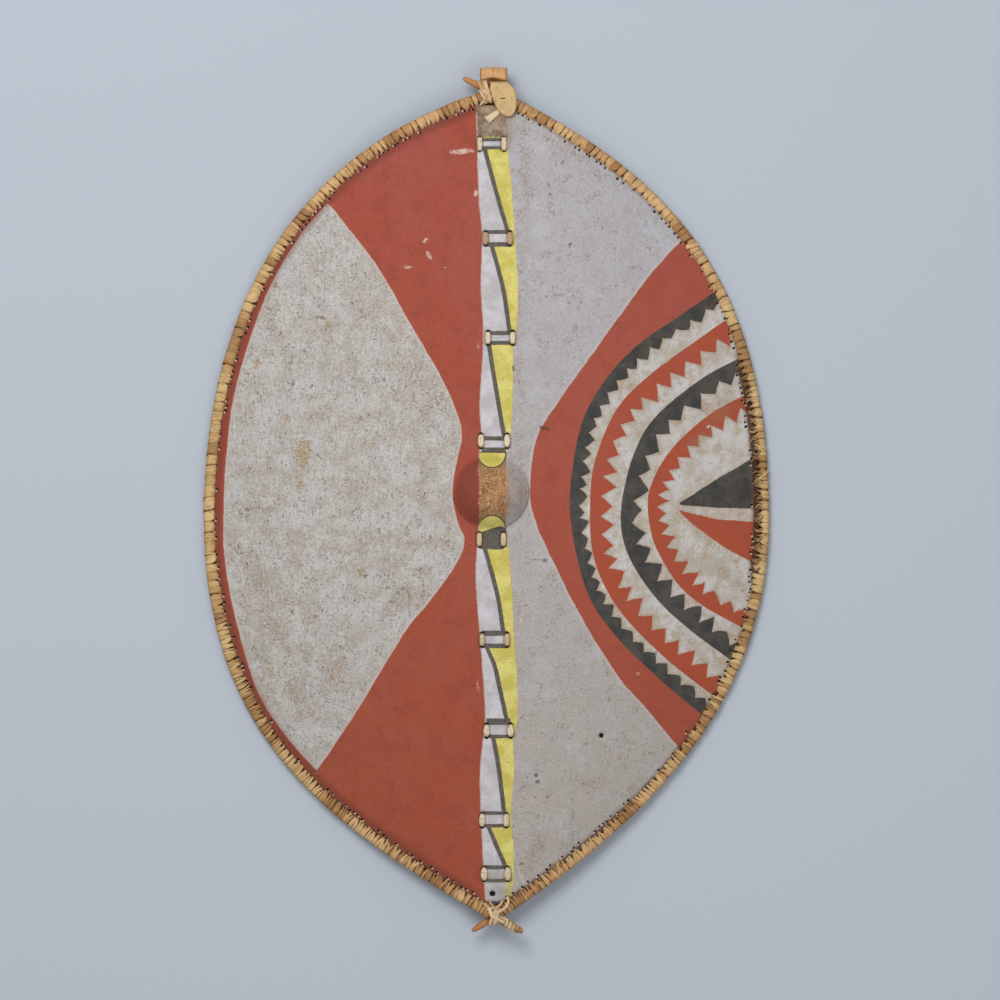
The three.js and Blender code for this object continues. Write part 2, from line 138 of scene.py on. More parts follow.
def crowded_ends(first, last, end, steps):
    """Places from first to last, closer together over the length called end at both ends."""
    return np.concatenate([
        np.linspace(first, first + end, steps)[:-1],
        np.linspace(first + end, last - end, 150),
        np.linspace(last - end, last, steps)[1:],
    ])


def waves(x, y, seed, longest, count=10):
    """Smooth unevenness between about -1 and 1."""
    rng = np.random.default_rng(seed)
    total = np.zeros(np.broadcast(x, y).shape)
    for _ in range(count):
        length = longest * rng.uniform(0.35, 1.0)
        turn = rng.uniform(0, 2 * math.pi)
        phase = rng.uniform(0, 2 * math.pi)
        total = total + np.sin((x * math.cos(turn) + y * math.sin(turn)) * 2 * math.pi / length + phase)
    return total / math.sqrt(count)


# ---- The surface that everything follows ----

class Edge:
    """One side's rim centre line seen from above: s runs from the top tip to the bottom tip.

    top and bottom are the reach and angle of the curve's handle at that tip, and its handle's reach at the
    widest place. overruns are how far the stick runs on past the tips.
    """

    def __init__(self, side, width, widest_y, top, bottom, overruns):
        widest = np.array([side * width, widest_y])
        halves = []
        for tip_y, (reach, angle, middle_reach), up in ((TIP_TOP, top, 1), (TIP_BOTTOM, bottom, -1)):
            tip = np.array([0.0, tip_y])
            handle = np.array([side * reach * math.cos(angle), -up * reach * math.sin(angle)])
            halves.append((tip, tip + handle, widest + [0, up * middle_reach], widest))
        self.side = side
        self.points = np.concatenate([bezier(*halves[0]), bezier(*halves[1][::-1])[1:]])
        self.lengths = run_along(self.points)
        self.length = self.lengths[-1]
        self.overruns = overruns

    def width_at(self, y):
        return np.interp(-np.asarray(y, float), -self.points[:, 1], np.abs(self.points[:, 0]))

    def length_at(self, y):
        return float(np.interp(-y, -self.points[:, 1], self.lengths))

    def plain_at(self, s):
        return vec(*[np.interp(s, self.lengths, self.points[:, k]) for k in (0, 1)])

    def at(self, s):
        """Centre and tangent at length s; the line runs straight on past the tips."""
        s = np.asarray(s, float)
        inside = np.clip(s, 1.0, self.length - 1.0)
        tangent = unit(self.plain_at(inside + 1.0) - self.plain_at(inside - 1.0))
        on = np.clip(s, 0.0, self.length)
        return self.plain_at(on) + tangent * (s - on)[..., None], tangent


LEFT = Edge(-1, 322.4, -21, (214, 0.28, 256), (227, 0.52, 236), (15, 36))
RIGHT = Edge(1, 303.4, -20, (210, 0.46, 277), (196, 0.58, 211), (40, 31))


def rim_width(x, y):
    return np.where(x < 0, LEFT.width_at(y), RIGHT.width_at(y))


def rim_height(y):
    run = np.abs(y - MIDDLE_Y) - RIM_FLAT_HALF_LENGTH
    share = np.clip(run / (HALF_LENGTH - RIM_FLAT_HALF_LENGTH), 0, 1)
    return RIM_HEIGHT + RIM_TIP_LIFT * share ** 2


def surface_height(x, y):
    x, y = np.broadcast_arrays(np.asarray(x, float), np.asarray(y, float))
    rise = HIDE_CROWN * np.maximum(0, 1 - ((y - MIDDLE_Y) / HALF_LENGTH) ** 2)
    across = np.minimum(1, np.abs(x) / np.maximum(rim_width(x, y), 0.01))
    return rim_height(y) + rise * (1 - 0.3 * across ** 1.5 - 0.7 * across ** 2)


def surface_normal(x, y):
    step = 0.5
    slope_x = (surface_height(x + step, y) - surface_height(x - step, y)) / (2 * step)
    slope_y = (surface_height(x, y + step) - surface_height(x, y - step)) / (2 * step)
    return unit(vec(-slope_x, -slope_y, 1.0))


def on_surface(x, y, lift):
    x, y, lift = np.broadcast_arrays(*[np.asarray(v, float) for v in (x, y, lift)])
    return vec(x, y, surface_height(x, y)) + surface_normal(x, y) * lift[..., None]


def sway_at(y):
    """How far the spine sways to the side at y."""
    y = np.asarray(y, float)
    below = np.clip(np.searchsorted(-STATION_Y, -y), 1, len(STATIONS) - 1)
    y0, y1 = STATION_Y[below], STATION_Y[below - 1]
    share = smooth((y - y0) / (y1 - y0))
    return STATION_SWAY[below] + (STATION_SWAY[below - 1] - STATION_SWAY[below]) * share


def placing_shift():
    """From the drawing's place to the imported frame's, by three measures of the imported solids."""
    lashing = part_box("tip_lashing_bottom")
    peak = surface_height(BOSS_X, BOSS_Y) + HIDE_HALF + BOSS_HEIGHT
    return np.array([
        (lashing[0][0] + lashing[1][0]) / 2 / MM,
        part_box("handle_stave")[0][1] / MM - STAVE_BOTTOM,
        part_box("hide")[1][2] / MM - peak,
    ])


SHIFT = placing_shift()


# ---- Mesh tools ----

def add_piece(name, node, slot, materials, points, faces, layout=None, face_slots=None, sharp=None):
    """A closed piece from points in millimetres. layout holds numbers for the material, by point."""
    mesh = bpy.data.meshes.new(name)
    mesh.from_pydata(((points + SHIFT) * MM).tolist(), [], faces)
    for material in materials:
        mesh.materials.append(material)
    if face_slots is not None:
        mesh.polygons.foreach_set("material_index", np.asarray(face_slots, np.int32))
    for key, values in (layout or {}).items():
        layer = mesh.attributes.new(key, "FLOAT", "POINT")
        layer.data.foreach_set("value", np.asarray(values, np.float32))
    work = bmesh.new()
    work.from_mesh(mesh)
    bmesh.ops.recalc_face_normals(work, faces=work.faces)
    work.to_mesh(mesh)
    work.free()
    mesh.shade_smooth()
    if sharp is not None:
        mesh.set_sharp_from_angle(angle=math.radians(sharp))
    piece = bpy.data.objects.new(name, mesh)
    bpy.context.scene.collection.objects.link(piece)
    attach(piece, "root")
    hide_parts(node)


def loft(rows, looped=False):
    """Points and faces of a skin through rows of like closed sections; open rows get end caps."""
    total, count = rows.shape[:2]
    i = np.arange(total if looped else total - 1)[:, None]
    j = np.arange(count)[None, :]
    here, after = i * count, (i + 1) % total * count
    k = (j + 1) % count
    faces = np.stack(np.broadcast_arrays(here + j, here + k, after + k, after + j), axis=-1)
    faces = faces.reshape(-1, 4).tolist()
    if not looped:
        faces.append(list(range(count))[::-1])
        faces.append(list(range((total - 1) * count, total * count)))
    return rows.reshape(-1, 3), faces


def sweep(path, out, section, looped):
    """A section carried along path. out says where its second coordinate points at each row."""
    ahead = np.roll(path, -1, axis=0) - np.roll(path, 1, axis=0)
    if not looped:
        ahead[0] = path[1] - path[0]
        ahead[-1] = path[-1] - path[-2]
    along = unit(ahead)
    side = unit(np.cross(along, out))
    lift = np.cross(side, along)
    return path[:, None] + side[:, None] * section[..., 0:1] + lift[:, None] * section[..., 1:2]


# The section of a dried strip, one wide and one thick: flat below, domed above, with rounded edges.
PILLOW = np.array([
    (-0.46, -0.42), (0.46, -0.42), (0.5, -0.1), (0.47, 0.22), (0.33, 0.45), (0, 0.5), (-0.33, 0.45),
    (-0.47, 0.22), (-0.5, -0.1),
])


def pillow(width, thickness):
    return PILLOW * vec(width, thickness)[..., None, :]


def strip_layout(path, tone, arm=0.0, side=0.0):
    """What a strip's look is worked out from: its tone, the place across and along it, how near a tip it
    lies, and its shares of painted shade on an arm and on a side turned away from the light.
    """
    tipward = smooth((np.abs(path[:, 1]) - 190) / 160)
    by_row = {"tone": tone, "arm": arm, "side": side, "run": run_along(path), "tipward": tipward}
    layout = {key: np.repeat(np.broadcast_to(v, len(path)), len(PILLOW)) for key, v in by_row.items()}
    layout["strip"] = np.tile(PILLOW[:, 0], len(path))
    return layout


def strip(path, out, section, tone, arm=0.0, side=0.0, looped=False):
    """A strip of rawhide along path: its points, faces and layout."""
    return *loft(sweep(path, out, section, looped), looped), strip_layout(path, tone, arm, side)


def join(strips):
    """One set of points, faces and layout from several."""
    faces, start = [], 0
    for points, theirs, _ in strips:
        faces += [[start + k for k in face] for face in theirs]
        start += len(points)
    layout = {key: np.concatenate([some[2][key] for some in strips]) for key in strips[0][2]}
    return np.concatenate([some[0] for some in strips]), faces, layout


# ---- The painted pattern ----

# The pale field on the left, from its top corner down its right side and back up beside the rim.
LEFT_FIELD = [
    (-188.5, 334), (-187.5, 334), (-168, 310), (-129, 258), (-96, 200), (-62, 141), (-42, 97), (-37, 70),
    (-45, 30), (-47, 4), (-41, -26), (-34, -44), (-41, -68), (-72, -112), (-96, -141), (-124, -186),
    (-158, -242), (-200, -304), (-201, -304), (-233, -268), (-267, -216), (-292, -132), (-304, -66),
    (-305, -10), (-302, 52), (-291, 129), (-259, 227), (-222, 294),
]
# Where the grey right half gives way to red.
RIGHT_RED = [
    (212, 295), (178, 258), (140, 207), (105, 158), (68, 106), (46, 68), (39, 16), (42, -14), (61, -61),
    (98, -134), (138, -198), (166, -230), (204, -276),
]
# The four toothed bands, from the outside in: the smooth outer edge, the width of the solid part, the height
# of the teeth, how pointed they are, and their pitch at the top, in the middle and at the bottom.
BANDS = {
    "black_outer": ([
        (262, 245), (207, 207), (160, 174), (125, 137), (98, 90), (86, 35), (84, -22), (101, -99),
        (132, -149), (184, -201), (240, -248),
    ], 10, 8.5, 0.75, (20, 16.5, 20)),
    "red_outer": ([
        (276, 214), (227, 180), (174, 141), (136, 102), (112, 46), (106, 0), (110, -65), (138, -122),
        (189, -176), (250, -224),
    ], 12, 14.5, 0.95, (21, 22.5, 21)),
    "black_inner": ([
        (284, 164), (239, 141), (195, 108), (168, 78), (149, 34), (140, -20), (150, -65), (181, -111),
        (220, -147), (276, -188),
    ], 12.5, 13.5, 0.85, (22, 29, 19)),
    "red_inner": ([
        (288, 122), (239, 95), (196, 55), (173, 13), (172, -24), (184, -62), (218, -108), (282, -146),
    ], 10.5, 12.5, 0.9, (20.5, 16.5, 21.5)),
}
# Plain shapes: the two wedges inside the bands, and the dark block at the station below the boss.
SHAPES = {
    "black_wedge": [(204, -5), (246, 22), (300, 53), (300, -10), (250, -9)],
    "red_wedge": [(204, -11), (250, -22), (300, -25), (300, -76), (258, -54), (222, -28)],
    "block": [(-15.5, -35.5), (5.5, -29), (12.5, -31), (13, -52), (-9.5, -55), (-13.5, -49)],
}
# The edges of the painted spine: y, x.
SPINE = {
    "spine_left": [
        (460, -21), (405, -20), (335, -17.5), (296, -14), (240, -15.5), (180, -12.6), (108, -16.7),
        (75, -15), (35, -18), (-20, -17.5), (-77, -21), (-112, -19.7), (-150, -16.6), (-200, -12.8),
        (-244, -10.7), (-300, -16.2), (-345, -15.8), (-406, -12.8), (-470, -9),
    ],
    "spine_right": [
        (460, 14), (396, 14.3), (351, 18.6), (290, 22.6), (238, 25.5), (196, 24.4), (170, 20.8), (122, 19.9),
        (70, 17), (45, 12), (-20, 11.5), (-55, 15.2), (-100, 18.8), (-150, 21), (-200, 24.6), (-245, 25),
        (-270, 20), (-299, 21.6), (-352, 17.6), (-398, 21), (-470, 19),
    ],
}
# The dark diagonal between each two stations, from below the upper one to above the lower one: y, x.
DIAGONALS = [
    [(400, -13), (348, 0.5), (293, 16)],
    [(293, -6), (238, 8.5), (181, 17)],
    [(181, -8), (122, 1.4), (66, 11)],
    [(66, 11), (-44, -14)],
    [(-44, -14), (-103, 2), (-156, 10.5)],
    [(-156, -13), (-184, -0.8), (-210, 5.1), (-258, 16)],
    [(-258, -3.5), (-299, 4), (-359, 11)],
    [(-359, -10), (-420, 15)],
]
ABOVE_DIAGONALS = -60
BELOW_DIAGONALS = 11
# Each station's two dark bars: inner and outer reach above it, and below it.
BARS = [
    (2.5, 6.6, 2.7, 6.6), (4.5, 9, 4.6, 9.8), (2.8, 7.6, 3.6, 8.2), (0.2, 5, 7.5, 13),
    (0, 13, 0, 11), (4.4, 10.6, 4, 9.2), (6.6, 14, 4.2, 8.2), (6.4, 10.6, 3.8, 8),
    (5.6, 10.2, 4.8, 9.2),
]
BAR_HALF_WIDTH = 13.4
# The yellow half rounds above and below the boss: centre, half width, half height, the height of the flat
# side, and where the round lies from it.
HALF_ROUNDS = [(-3.4, 52.5, 15, 15.8, 52.5, -1), (-3.6, -33, 15, 15.2, -36, 1)]

# Old marks on the paint: x, y, half length, half width, and turn in degrees.
MARKS = {
    "scuff": [
        (-33, 391.5, 14, 3, 3), (-98, 261, 8, 1.7, -4), (-74, 275, 9, 2.2, 120), (-56, 260, 3.2, 2, -40),
        (-78, 291, 3.2, 2, 40), (-22, 343, 4, 2, 80), (239.6, 82, 2.6, 2.2, 0), (160, -194.6, 2.6, 2.4, 0),
        (122.5, -266.5, 3.4, 1.9, -40), (-7, -4, 2, 2, 0), (-19, 170, 5, 1.6, 90), (-19, -206, 6, 1.6, 92),
        (216, 190, 6, 1.5, 40), (28, -140, 9, 1.6, 80),
    ],
    "stain": [
        (-214, 53, 15, 9.5, 80), (-219.6, 20.8, 12, 4.6, 90), (-266.6, 152, 6, 4, 90), (-137, 60, 5, 3.5, 60),
        (-251, -193, 10, 4, 115), (-236, 92, 5, 3, 30), (-150, -80, 6, 4, 20), (-188, 200, 7, 4, 70),
        (-120, 150, 5, 3, 0), (190, 155, 6, 3, 30),
    ],
    "smear": [
        (34, 365, 72, 6.5, 90), (30, 258, 34, 3.5, 90), (27.5, 60, 90, 1.7, 90), (27.5, 180, 60, 2, 88),
        (-246, -150, 40, 9, 118), (-222, -218, 34, 10, 125), (-262, -90, 30, 8, 105), (-180, -200, 26, 9, 70),
        (112, -317, 12, 6, 15), (238, 100, 22, 8, 35), (70, 400, 26, 7, 150), (44, -398, 22, 8, 60),
        (-110, -120, 20, 8, 45), (-70, 110, 22, 6, 60), (245, -50, 26, 5, -38), (228, 68, 18, 8, 38),
        (252, 96, 20, 9, 30), (262, -88, 22, 7, -40),
    ],
    "scar": [
        (53.4, 80, 10.5, 2.4, -8), (55, -68, 11, 2.2, -8), (76.5, 380, 3.2, 1.9, 60), (62, 342, 5, 1.5, 105),
        (60, 353, 5.5, 1.7, 110), (65, 323, 4, 1.9, 120), (84, 287, 2.8, 1.9, 60), (-226, 133, 5.5, 1.5, 80),
        (-130, 204, 9, 1, -4), (46, -309, 2.2, 1.8, 0), (47.5, -316, 2.2, 1.8, 0), (45, -333, 3.4, 2.4, 60),
        (57, -333, 2.6, 1.9, 30), (29, -408, 2.6, 1.8, 20), (-252, 34, 7, 1.3, 88), (-205, 128, 3, 2, 20),
        (-180, 152, 2.6, 2, 60), (-190, 203, 6, 1, -10), (-143, -85, 3, 2, 10), (-225, -128, 5, 1.4, 130),
        (-108, -103, 3.4, 2.6, 30), (-95, -60, 2.8, 2, 30), (109, -316, 4, 2, -10), (-165, 36, 2.6, 2, 0),
        (-150, 12, 2.6, 1.8, 0), (-71, -44, 6, 1.4, 100), (180, -172, 3, 2, 0), (20.5, 148, 3, 1.6, 90),
    ],
}
# The long scratch by the lower tip: where it starts, which way it runs, and how far.
SCRATCH_FROM = (24.2, -411.8)
SCRATCH_ALONG = (0.391, -0.92)
SCRATCH_LENGTH = 44


def nearest_on(line, x, y, closed=False):
    """Distance to a line of points, the length along it of the nearest point, and the side it lies on."""
    ends = np.roll(line, -1, axis=0) if closed else line[1:]
    best = np.full(x.shape, 1e9)
    along = np.zeros(x.shape)
    side = np.ones(x.shape)
    run = 0.0
    for (ax, ay), (bx, by) in zip(line, ends):
        dx, dy = bx - ax, by - ay
        length = math.hypot(dx, dy)
        t = np.clip(((x - ax) * dx + (y - ay) * dy) / length ** 2, 0, 1)
        away = np.hypot(x - ax - t * dx, y - ay - t * dy)
        nearer = away < best
        best = np.where(nearer, away, best)
        along = np.where(nearer, run + t * length, along)
        side = np.where(nearer, np.sign(dx * (y - ay) - dy * (x - ax) + 1e-12), side)
        run += length
    return best, along, side


def inside_of(outline, x, y):
    """Signed distance to a closed outline, above zero inside it."""
    outline = np.array(outline, float)
    best, _, _ = nearest_on(outline, x, y, closed=True)
    inside = np.zeros(x.shape, bool)
    for (ax, ay), (bx, by) in zip(outline, np.roll(outline, -1, axis=0)):
        if ay != by:
            crosses = (ay > y) != (by > y)
            inside ^= crosses & (x < ax + (y - ay) * (bx - ax) / (by - ay))
    return np.where(inside, best, -best)


def teeth_before(line, pitches, along):
    """How many teeth of a band lie before each length along its edge."""
    total = np.sum(np.linalg.norm(np.diff(line, axis=0), axis=1))
    s = np.linspace(0, total, 200)
    pitch = np.interp(s / total, [0.0, 0.5, 1.0], pitches)
    count = np.concatenate([[0.0], np.cumsum(np.diff(s) / (0.5 * (pitch[1:] + pitch[:-1])))])
    return np.interp(along, s, count)


def mark_depth(marks, x, y):
    """How deep inside the nearest mark each place is, below zero outside."""
    best = np.full(x.shape, -40.0)
    for cx, cy, long, wide, turn in marks:
        c, s = math.cos(math.radians(turn)), math.sin(math.radians(turn))
        u = (x - cx) * c + (y - cy) * s
        v = (y - cy) * c - (x - cx) * s
        best = np.maximum(best, (1 - np.hypot(u / long, v / wide)) * wide)
    return best


def line_x(points, steps, y):
    """The x at y of a line given by its y, x from the top down."""
    line = through(points, steps)[::-1]
    return np.interp(y, line[:, 0], line[:, 1])


def paint_layout(x, y):
    """What the hide's paint is worked out from, at each point of its face."""
    layout = {"across": x, "along": y, "boss": np.hypot(x - BOSS_X, y - BOSS_Y)}
    layout["left_field"] = inside_of(through(LEFT_FIELD, 6, closed=True), x, y)
    away, _, side = nearest_on(through(RIGHT_RED, 6), x, y)
    layout["right_red"] = away * side
    for name, (points, _, _, _, pitches) in BANDS.items():
        line = through(points)
        away, along, side = nearest_on(line, x, y)
        layout[name] = away * side
        layout[name + "_run"] = teeth_before(line, pitches, along)
    for name, outline in SHAPES.items():
        layout[name] = inside_of(outline, x, y)
    for name, points in SPINE.items():
        layout[name] = x - line_x(points, 4, y)
    for name, marks in MARKS.items():
        layout[name] = mark_depth(marks, x, y)

    diagonal = np.where(y > STATION_Y[0], ABOVE_DIAGONALS, BELOW_DIAGONALS).astype(float)
    for points, upper, lower in zip(DIAGONALS, STATION_Y, STATION_Y[1:]):
        diagonal = np.where((y <= upper) & (y > lower), line_x(points, 6, y), diagonal)
    layout["diagonal"] = x - diagonal
    bar = np.full(x.shape, 9.0)
    for station, (up_in, up_out, low_in, low_out) in zip(STATION_Y, BARS):
        rise = y - station
        edge = np.maximum((rise - up_in) / (up_out - up_in), (-rise - low_in) / (low_out - low_in))
        bar = np.minimum(bar, edge if up_in > 0 else np.maximum(edge, 0.1))
    layout["bar"] = bar
    layout["bar_side"] = BAR_HALF_WIDTH - np.abs(x - sway_at(y))
    layout["cup"] = np.maximum(*[
        np.minimum((1 - np.hypot((x - cx) / rx, (y - cy) / ry)) * rx, (y - flat) * up)
        for cx, cy, rx, ry, flat, up in HALF_ROUNDS
    ])
    nearest = np.argmin(np.abs(y[..., None] - STATION_Y), axis=-1)
    layout["stitch_side"] = np.abs(x - STATION_SWAY[nearest]) - STATION_HALF[nearest]
    layout["stitch_rise"] = np.abs(y - STATION_Y[nearest])
    return layout


# ---- Hide ----

def inset_edges():
    """The hide's own edge on each side: y from the top down, and the width there."""
    edges = []
    for edge in (LEFT, RIGHT):
        centre, tangent = edge.at(np.linspace(0, edge.length, 500))
        points = centre + vec(tangent[:, 1], -tangent[:, 0]) * edge.side * HIDE_INSET
        points = points[points[:, 0] * edge.side >= HIDE_TIP_HALF_WIDTH]
        edges.append((points[:, 1], np.abs(points[:, 0])))
    return edges


def boss_lift(x, y, radius):
    """The boss, with a soft foot."""
    softness = 0.9
    r = np.hypot(x - BOSS_X, y - BOSS_Y) / radius
    lift = softness * np.logaddexp(0, BOSS_HEIGHT * (1 - r ** BOSS_PROFILE) / softness)
    return lift * smooth((1.35 - r) / 0.3)


def face_relief(x, y):
    """How far the face stands off its plain crown: a soft spine, waves, and dimples at the lacing."""
    from_boss = smooth((np.abs(y - BOSS_Y) - 34) / 40)
    from_tip = smooth((HALF_LENGTH - 12 - np.abs(y - MIDDLE_Y)) / 50)
    spine = 1.7 * np.exp(-((x - sway_at(y)) / 12) ** 2) * from_boss * from_tip
    from_edge = smooth((rim_width(x, y) - np.abs(x) - 8) / 40)
    uneven = (0.7 * waves(x, y, 3, 260) + 0.25 * waves(x, y, 4, 60)) * from_edge
    dimples = np.zeros(x.shape)
    for y0, sway, half in STATIONS:
        for side in (-half, half):
            for end in (-STITCH_HOLE, STITCH_HOLE):
                away = np.hypot(x - sway - side, y - y0 - end)
                dimples -= 1.3 * np.exp(-(away / 3.6) ** 2)
    for x0, y0, radius in PLAIN_HOLES:
        dimples -= 3.0 * smooth((radius + 1.2 - np.hypot(x - x0, y - y0)) / 2.2)
    return spine + uneven * smooth((np.hypot(x - BOSS_X, y - BOSS_Y) - 40) / 30) + dimples


COARSER = 3
FACE_COLUMNS = 72 * COARSER
FACE_ROWS = 120 * COARSER


def hide_grid():
    """Places over the face, closer together towards the spine and the tips."""
    edges = inset_edges()
    top, bottom = min(line[0] for line, _ in edges), max(line[-1] for line, _ in edges)
    share = np.arange(FACE_ROWS + 1) / FACE_ROWS
    eased = (1 - np.cos(math.pi * share)) / 2
    y = bottom + (top - bottom) * (0.35 * eased + 0.65 * share)
    left, right = [np.interp(-y, -line, width) for line, width in edges]
    c = np.linspace(-1, 1, FACE_COLUMNS + 1)
    crowd = np.sign(c) * np.abs(c) ** 1.16
    width = np.where(c[None, :] < 0, left[:, None], right[:, None])
    return width * crowd[None, :], np.broadcast_to(y[:, None], width.shape)


def grid_faces(shape, start=0):
    """The cells of a grid of points, and its border once round."""
    places = start + np.arange(shape[0] * shape[1]).reshape(shape)
    cells = np.stack([places[:-1, :-1], places[:-1, 1:], places[1:, 1:], places[1:, :-1]], axis=-1)
    border = np.concatenate([places[0, :-1], places[:-1, -1], places[-1, :0:-1], places[:0:-1, 0]])
    return cells.reshape(-1, 4).tolist(), border.tolist()


def add_hide(face_material, back_material):
    x, y = hide_grid()
    face = on_surface(x, y, HIDE_HALF + face_relief(x, y))
    face[..., 2] += boss_lift(x, y, BOSS_RADIUS)
    back_x, back_y = (v[::COARSER, ::COARSER] for v in (x, y))
    back = on_surface(back_x, back_y, -HIDE_HALF)
    back[..., 2] += boss_lift(back_x, back_y, BOSS_RADIUS - BOSS_WALL)
    points = np.concatenate([face.reshape(-1, 3), back.reshape(-1, 3)])
    front, fine = grid_faces(x.shape)
    behind, rough = grid_faces(back_x.shape, x.size)
    faces = front + behind
    for k, here in enumerate(rough):
        edge = [fine[(k * COARSER + n) % len(fine)] for n in range(COARSER + 1)]
        faces.append(edge + [rough[(k + 1) % len(rough)], here])
    layout = {**paint_layout(x.ravel(), y.ravel()), **rim_layout(x.ravel(), y.ravel())}
    layout = {key: np.concatenate([values, np.zeros(back_x.size)]) for key, values in layout.items()}
    slots = np.arange(len(faces)) >= len(front)
    add_piece("hide_skin", "hide", "hide", [face_material, back_material], points, faces, layout, slots)


# ---- Rim ----

# How each side is wrapped, by place along the shield: y, pitch, reach of the arms over the hide, width of
# an arm at its hole as a share of its width over the stick, and unevenness.
LEFT_ZONES = [
    (470, 5.4, 7.8, 0.66, 0.7), (300, 6, 7.8, 0.66, 0.6), (215, 10.5, 6.6, 0.9, 0.4),
    (60, 12.6, 6.2, 0.95, 0.3), (-70, 12, 6.4, 0.9, 0.4), (-120, 4.2, 8.6, 0.85, 1),
    (-280, 3.4, 8.6, 0.75, 1), (-480, 3.6, 8.8, 0.7, 1),
]
RIGHT_ZONES = [
    (470, 6.4, 7.6, 0.7, 0.6), (330, 7.4, 7, 0.8, 0.5), (240, 8.5, 6.6, 0.85, 0.6),
    (170, 6, 7.4, 0.8, 0.8), (140, 5.6, 12, 0.42, 1), (-70, 6, 12.5, 0.42, 1),
    (-100, 6.4, 7.8, 0.75, 0.8), (-220, 5.8, 7.8, 0.75, 0.9), (-300, 4.2, 9, 0.62, 1),
    (-480, 3.8, 9.6, 0.62, 1),
]
# Where loose curls of the strip stand beside the right wrap: from y, to y.
CURLS = (150, -78)
WRAP_THICKNESS = 1.35
WRAP_RADIUS = 5.45
WRAP_FROM_TOP = 13.0
WRAP_FROM_BOTTOM = 2.0
HOLE_PITCH = 6.8
SHORT_REACH = 7.2
ARM_LIFT = HIDE_HALF + 0.15 + WRAP_THICKNESS / 2
FLOOR_CLEARANCE = 0.05
# One turn over and round the stick: degrees from straight in, and the share of the way to the next turn.
OVER_STICK = [
    (66, 0), (88, 0.02), (112, 0.05), (138, 0.1), (166, 0.2), (196, 0.35), (226, 0.5), (256, 0.65),
    (284, 0.8),
]
# Strips that lie over the wrap: y, slant along the rim, inward end, width, tone.
OVERLAYS = {
    "left": [(98, 1, 6, 2.2, 1), (86, -1, 6, 1.6, 1), (30, 1.5, 6.2, 1.8, 0.9), (-60, 1, 6, 2.4, 1)],
    "right": [
        (27, -9, 10, 2.2, 1), (4, 1.5, 6.5, 2, 1), (287, 4, 9, 5, 0.85), (60, 5, 8.5, 2, 0.9),
        (-48, 6, 8.5, 3, 0.8), (-232, 4, 8, 2.5, 0.95), (-300, -5, 9, 1.8, 1), (-390, 9, 10, 1.8, 1),
        (-404, 11, 12, 1.6, 0.9), (-418, 8, 12, 1.8, 1),
    ],
}
# How such a strip lies on the wrap: degrees, and height over it. Its end tucks in.
OVERLAY_LIFTS = [(52, 1.3), (80, 1.3), (110, 1.2), (140, 0.9), (165, -0.1)]


def rim_frame(edge, s, over=0.0):
    """The rim's centre at length s, with the directions in over the hide, and up."""
    at, along = edge.at(s)
    inward = vec(along[..., 1], -along[..., 0]) * edge.side
    inside = at + inward * 5
    tangent = vec(along[..., 0], along[..., 1], 0.0)
    across = unit(np.cross(surface_normal(inside[..., 0], inside[..., 1]), tangent))
    across *= np.sign(np.sum(across[..., :2] * inward, axis=-1))[..., None]
    up = unit(np.cross(across, tangent))
    up *= np.sign(up[..., 2:3])
    to_tip = np.minimum(s, edge.length - s)
    lift = over * smooth((CROSSING_RUN - to_tip) / (CROSSING_RUN - 6))
    return vec(at[..., 0], at[..., 1], rim_height(at[..., 1]) + lift), across, up


def zone_at(zones, y):
    table = np.array(zones, float)[::-1]
    return [np.interp(y, table[:, 0], table[:, k]) for k in range(1, 5)]


def wrap_starts(edge, zones, seed):
    """Where each turn of the wrap sets out, from tip to tip."""
    rng = np.random.default_rng(seed)
    starts = [WRAP_FROM_TOP]
    while starts[-1] < edge.length - WRAP_FROM_BOTTOM - 4:
        pitch, _, _, rough = zone_at(zones, edge.plain_at(starts[-1])[1])
        starts.append(starts[-1] + pitch * (1 + rng.uniform(-0.42, 0.42) * rough))
    return np.array(starts)


WRAPS = {
    "left": (LEFT, LEFT_ZONES, wrap_starts(LEFT, LEFT_ZONES, 11)),
    "right": (RIGHT, RIGHT_ZONES, wrap_starts(RIGHT, RIGHT_ZONES, 12)),
}


def rim_layout(x, y):
    """Depth in from the rim's centre line, and how many holes for the wrap lie before the nearest place."""
    depth = np.full(x.shape, 200.0)
    turn = np.zeros(x.shape)
    reach = np.full(x.shape, 6.0)
    wrapped = np.zeros(x.shape)
    for edge, zones, starts in WRAPS.values():
        near = (x * edge.side > 0) & (edge.width_at(y) - np.abs(x) < 130)
        away, along, _ = nearest_on(edge.points[::5], x[near], y[near])
        depth[near] = away
        turn[near] = along / HOLE_PITCH
        reach[near] = zone_at(zones, y[near])[1]
        wrapped[near] = np.minimum(along - starts[0], starts[-1] - along)
    return {"rim_depth": depth, "rim_turn": turn, "rim_reach": reach, "rim_wrapped": wrapped}


def wrap_rows(reach, lift, radius):
    """One turn seen along the rim: inward and up of its middle, its outward direction, its progress to
    the next turn, and how much it is over the stick rather than at the hole."""
    arm = ARM_LIFT + lift
    rows = [
        (reach + 1.0, arm - 1.8, 0.8, 0.6, 0.0, 0.0),
        (reach + 0.1, arm - 0.3, 0.5, 1.0, 0.0, 0.0),
        (reach * 0.62 + 1.4, arm + 0.65, 0.15, 1.0, 0.0, 0.35),
    ]
    for degrees, share in OVER_STICK:
        c, s = math.cos(math.radians(degrees)), math.sin(math.radians(degrees))
        rows.append((radius * c, radius * s, c, s, share, 1.0))
    rows += [(reach - 1.0, -arm, 0.0, -1.0, 0.95, 0.4), (reach + 1.2, 0.6 - arm, 0.8, -0.6, 1.0, 0.0)]
    return np.array(rows)


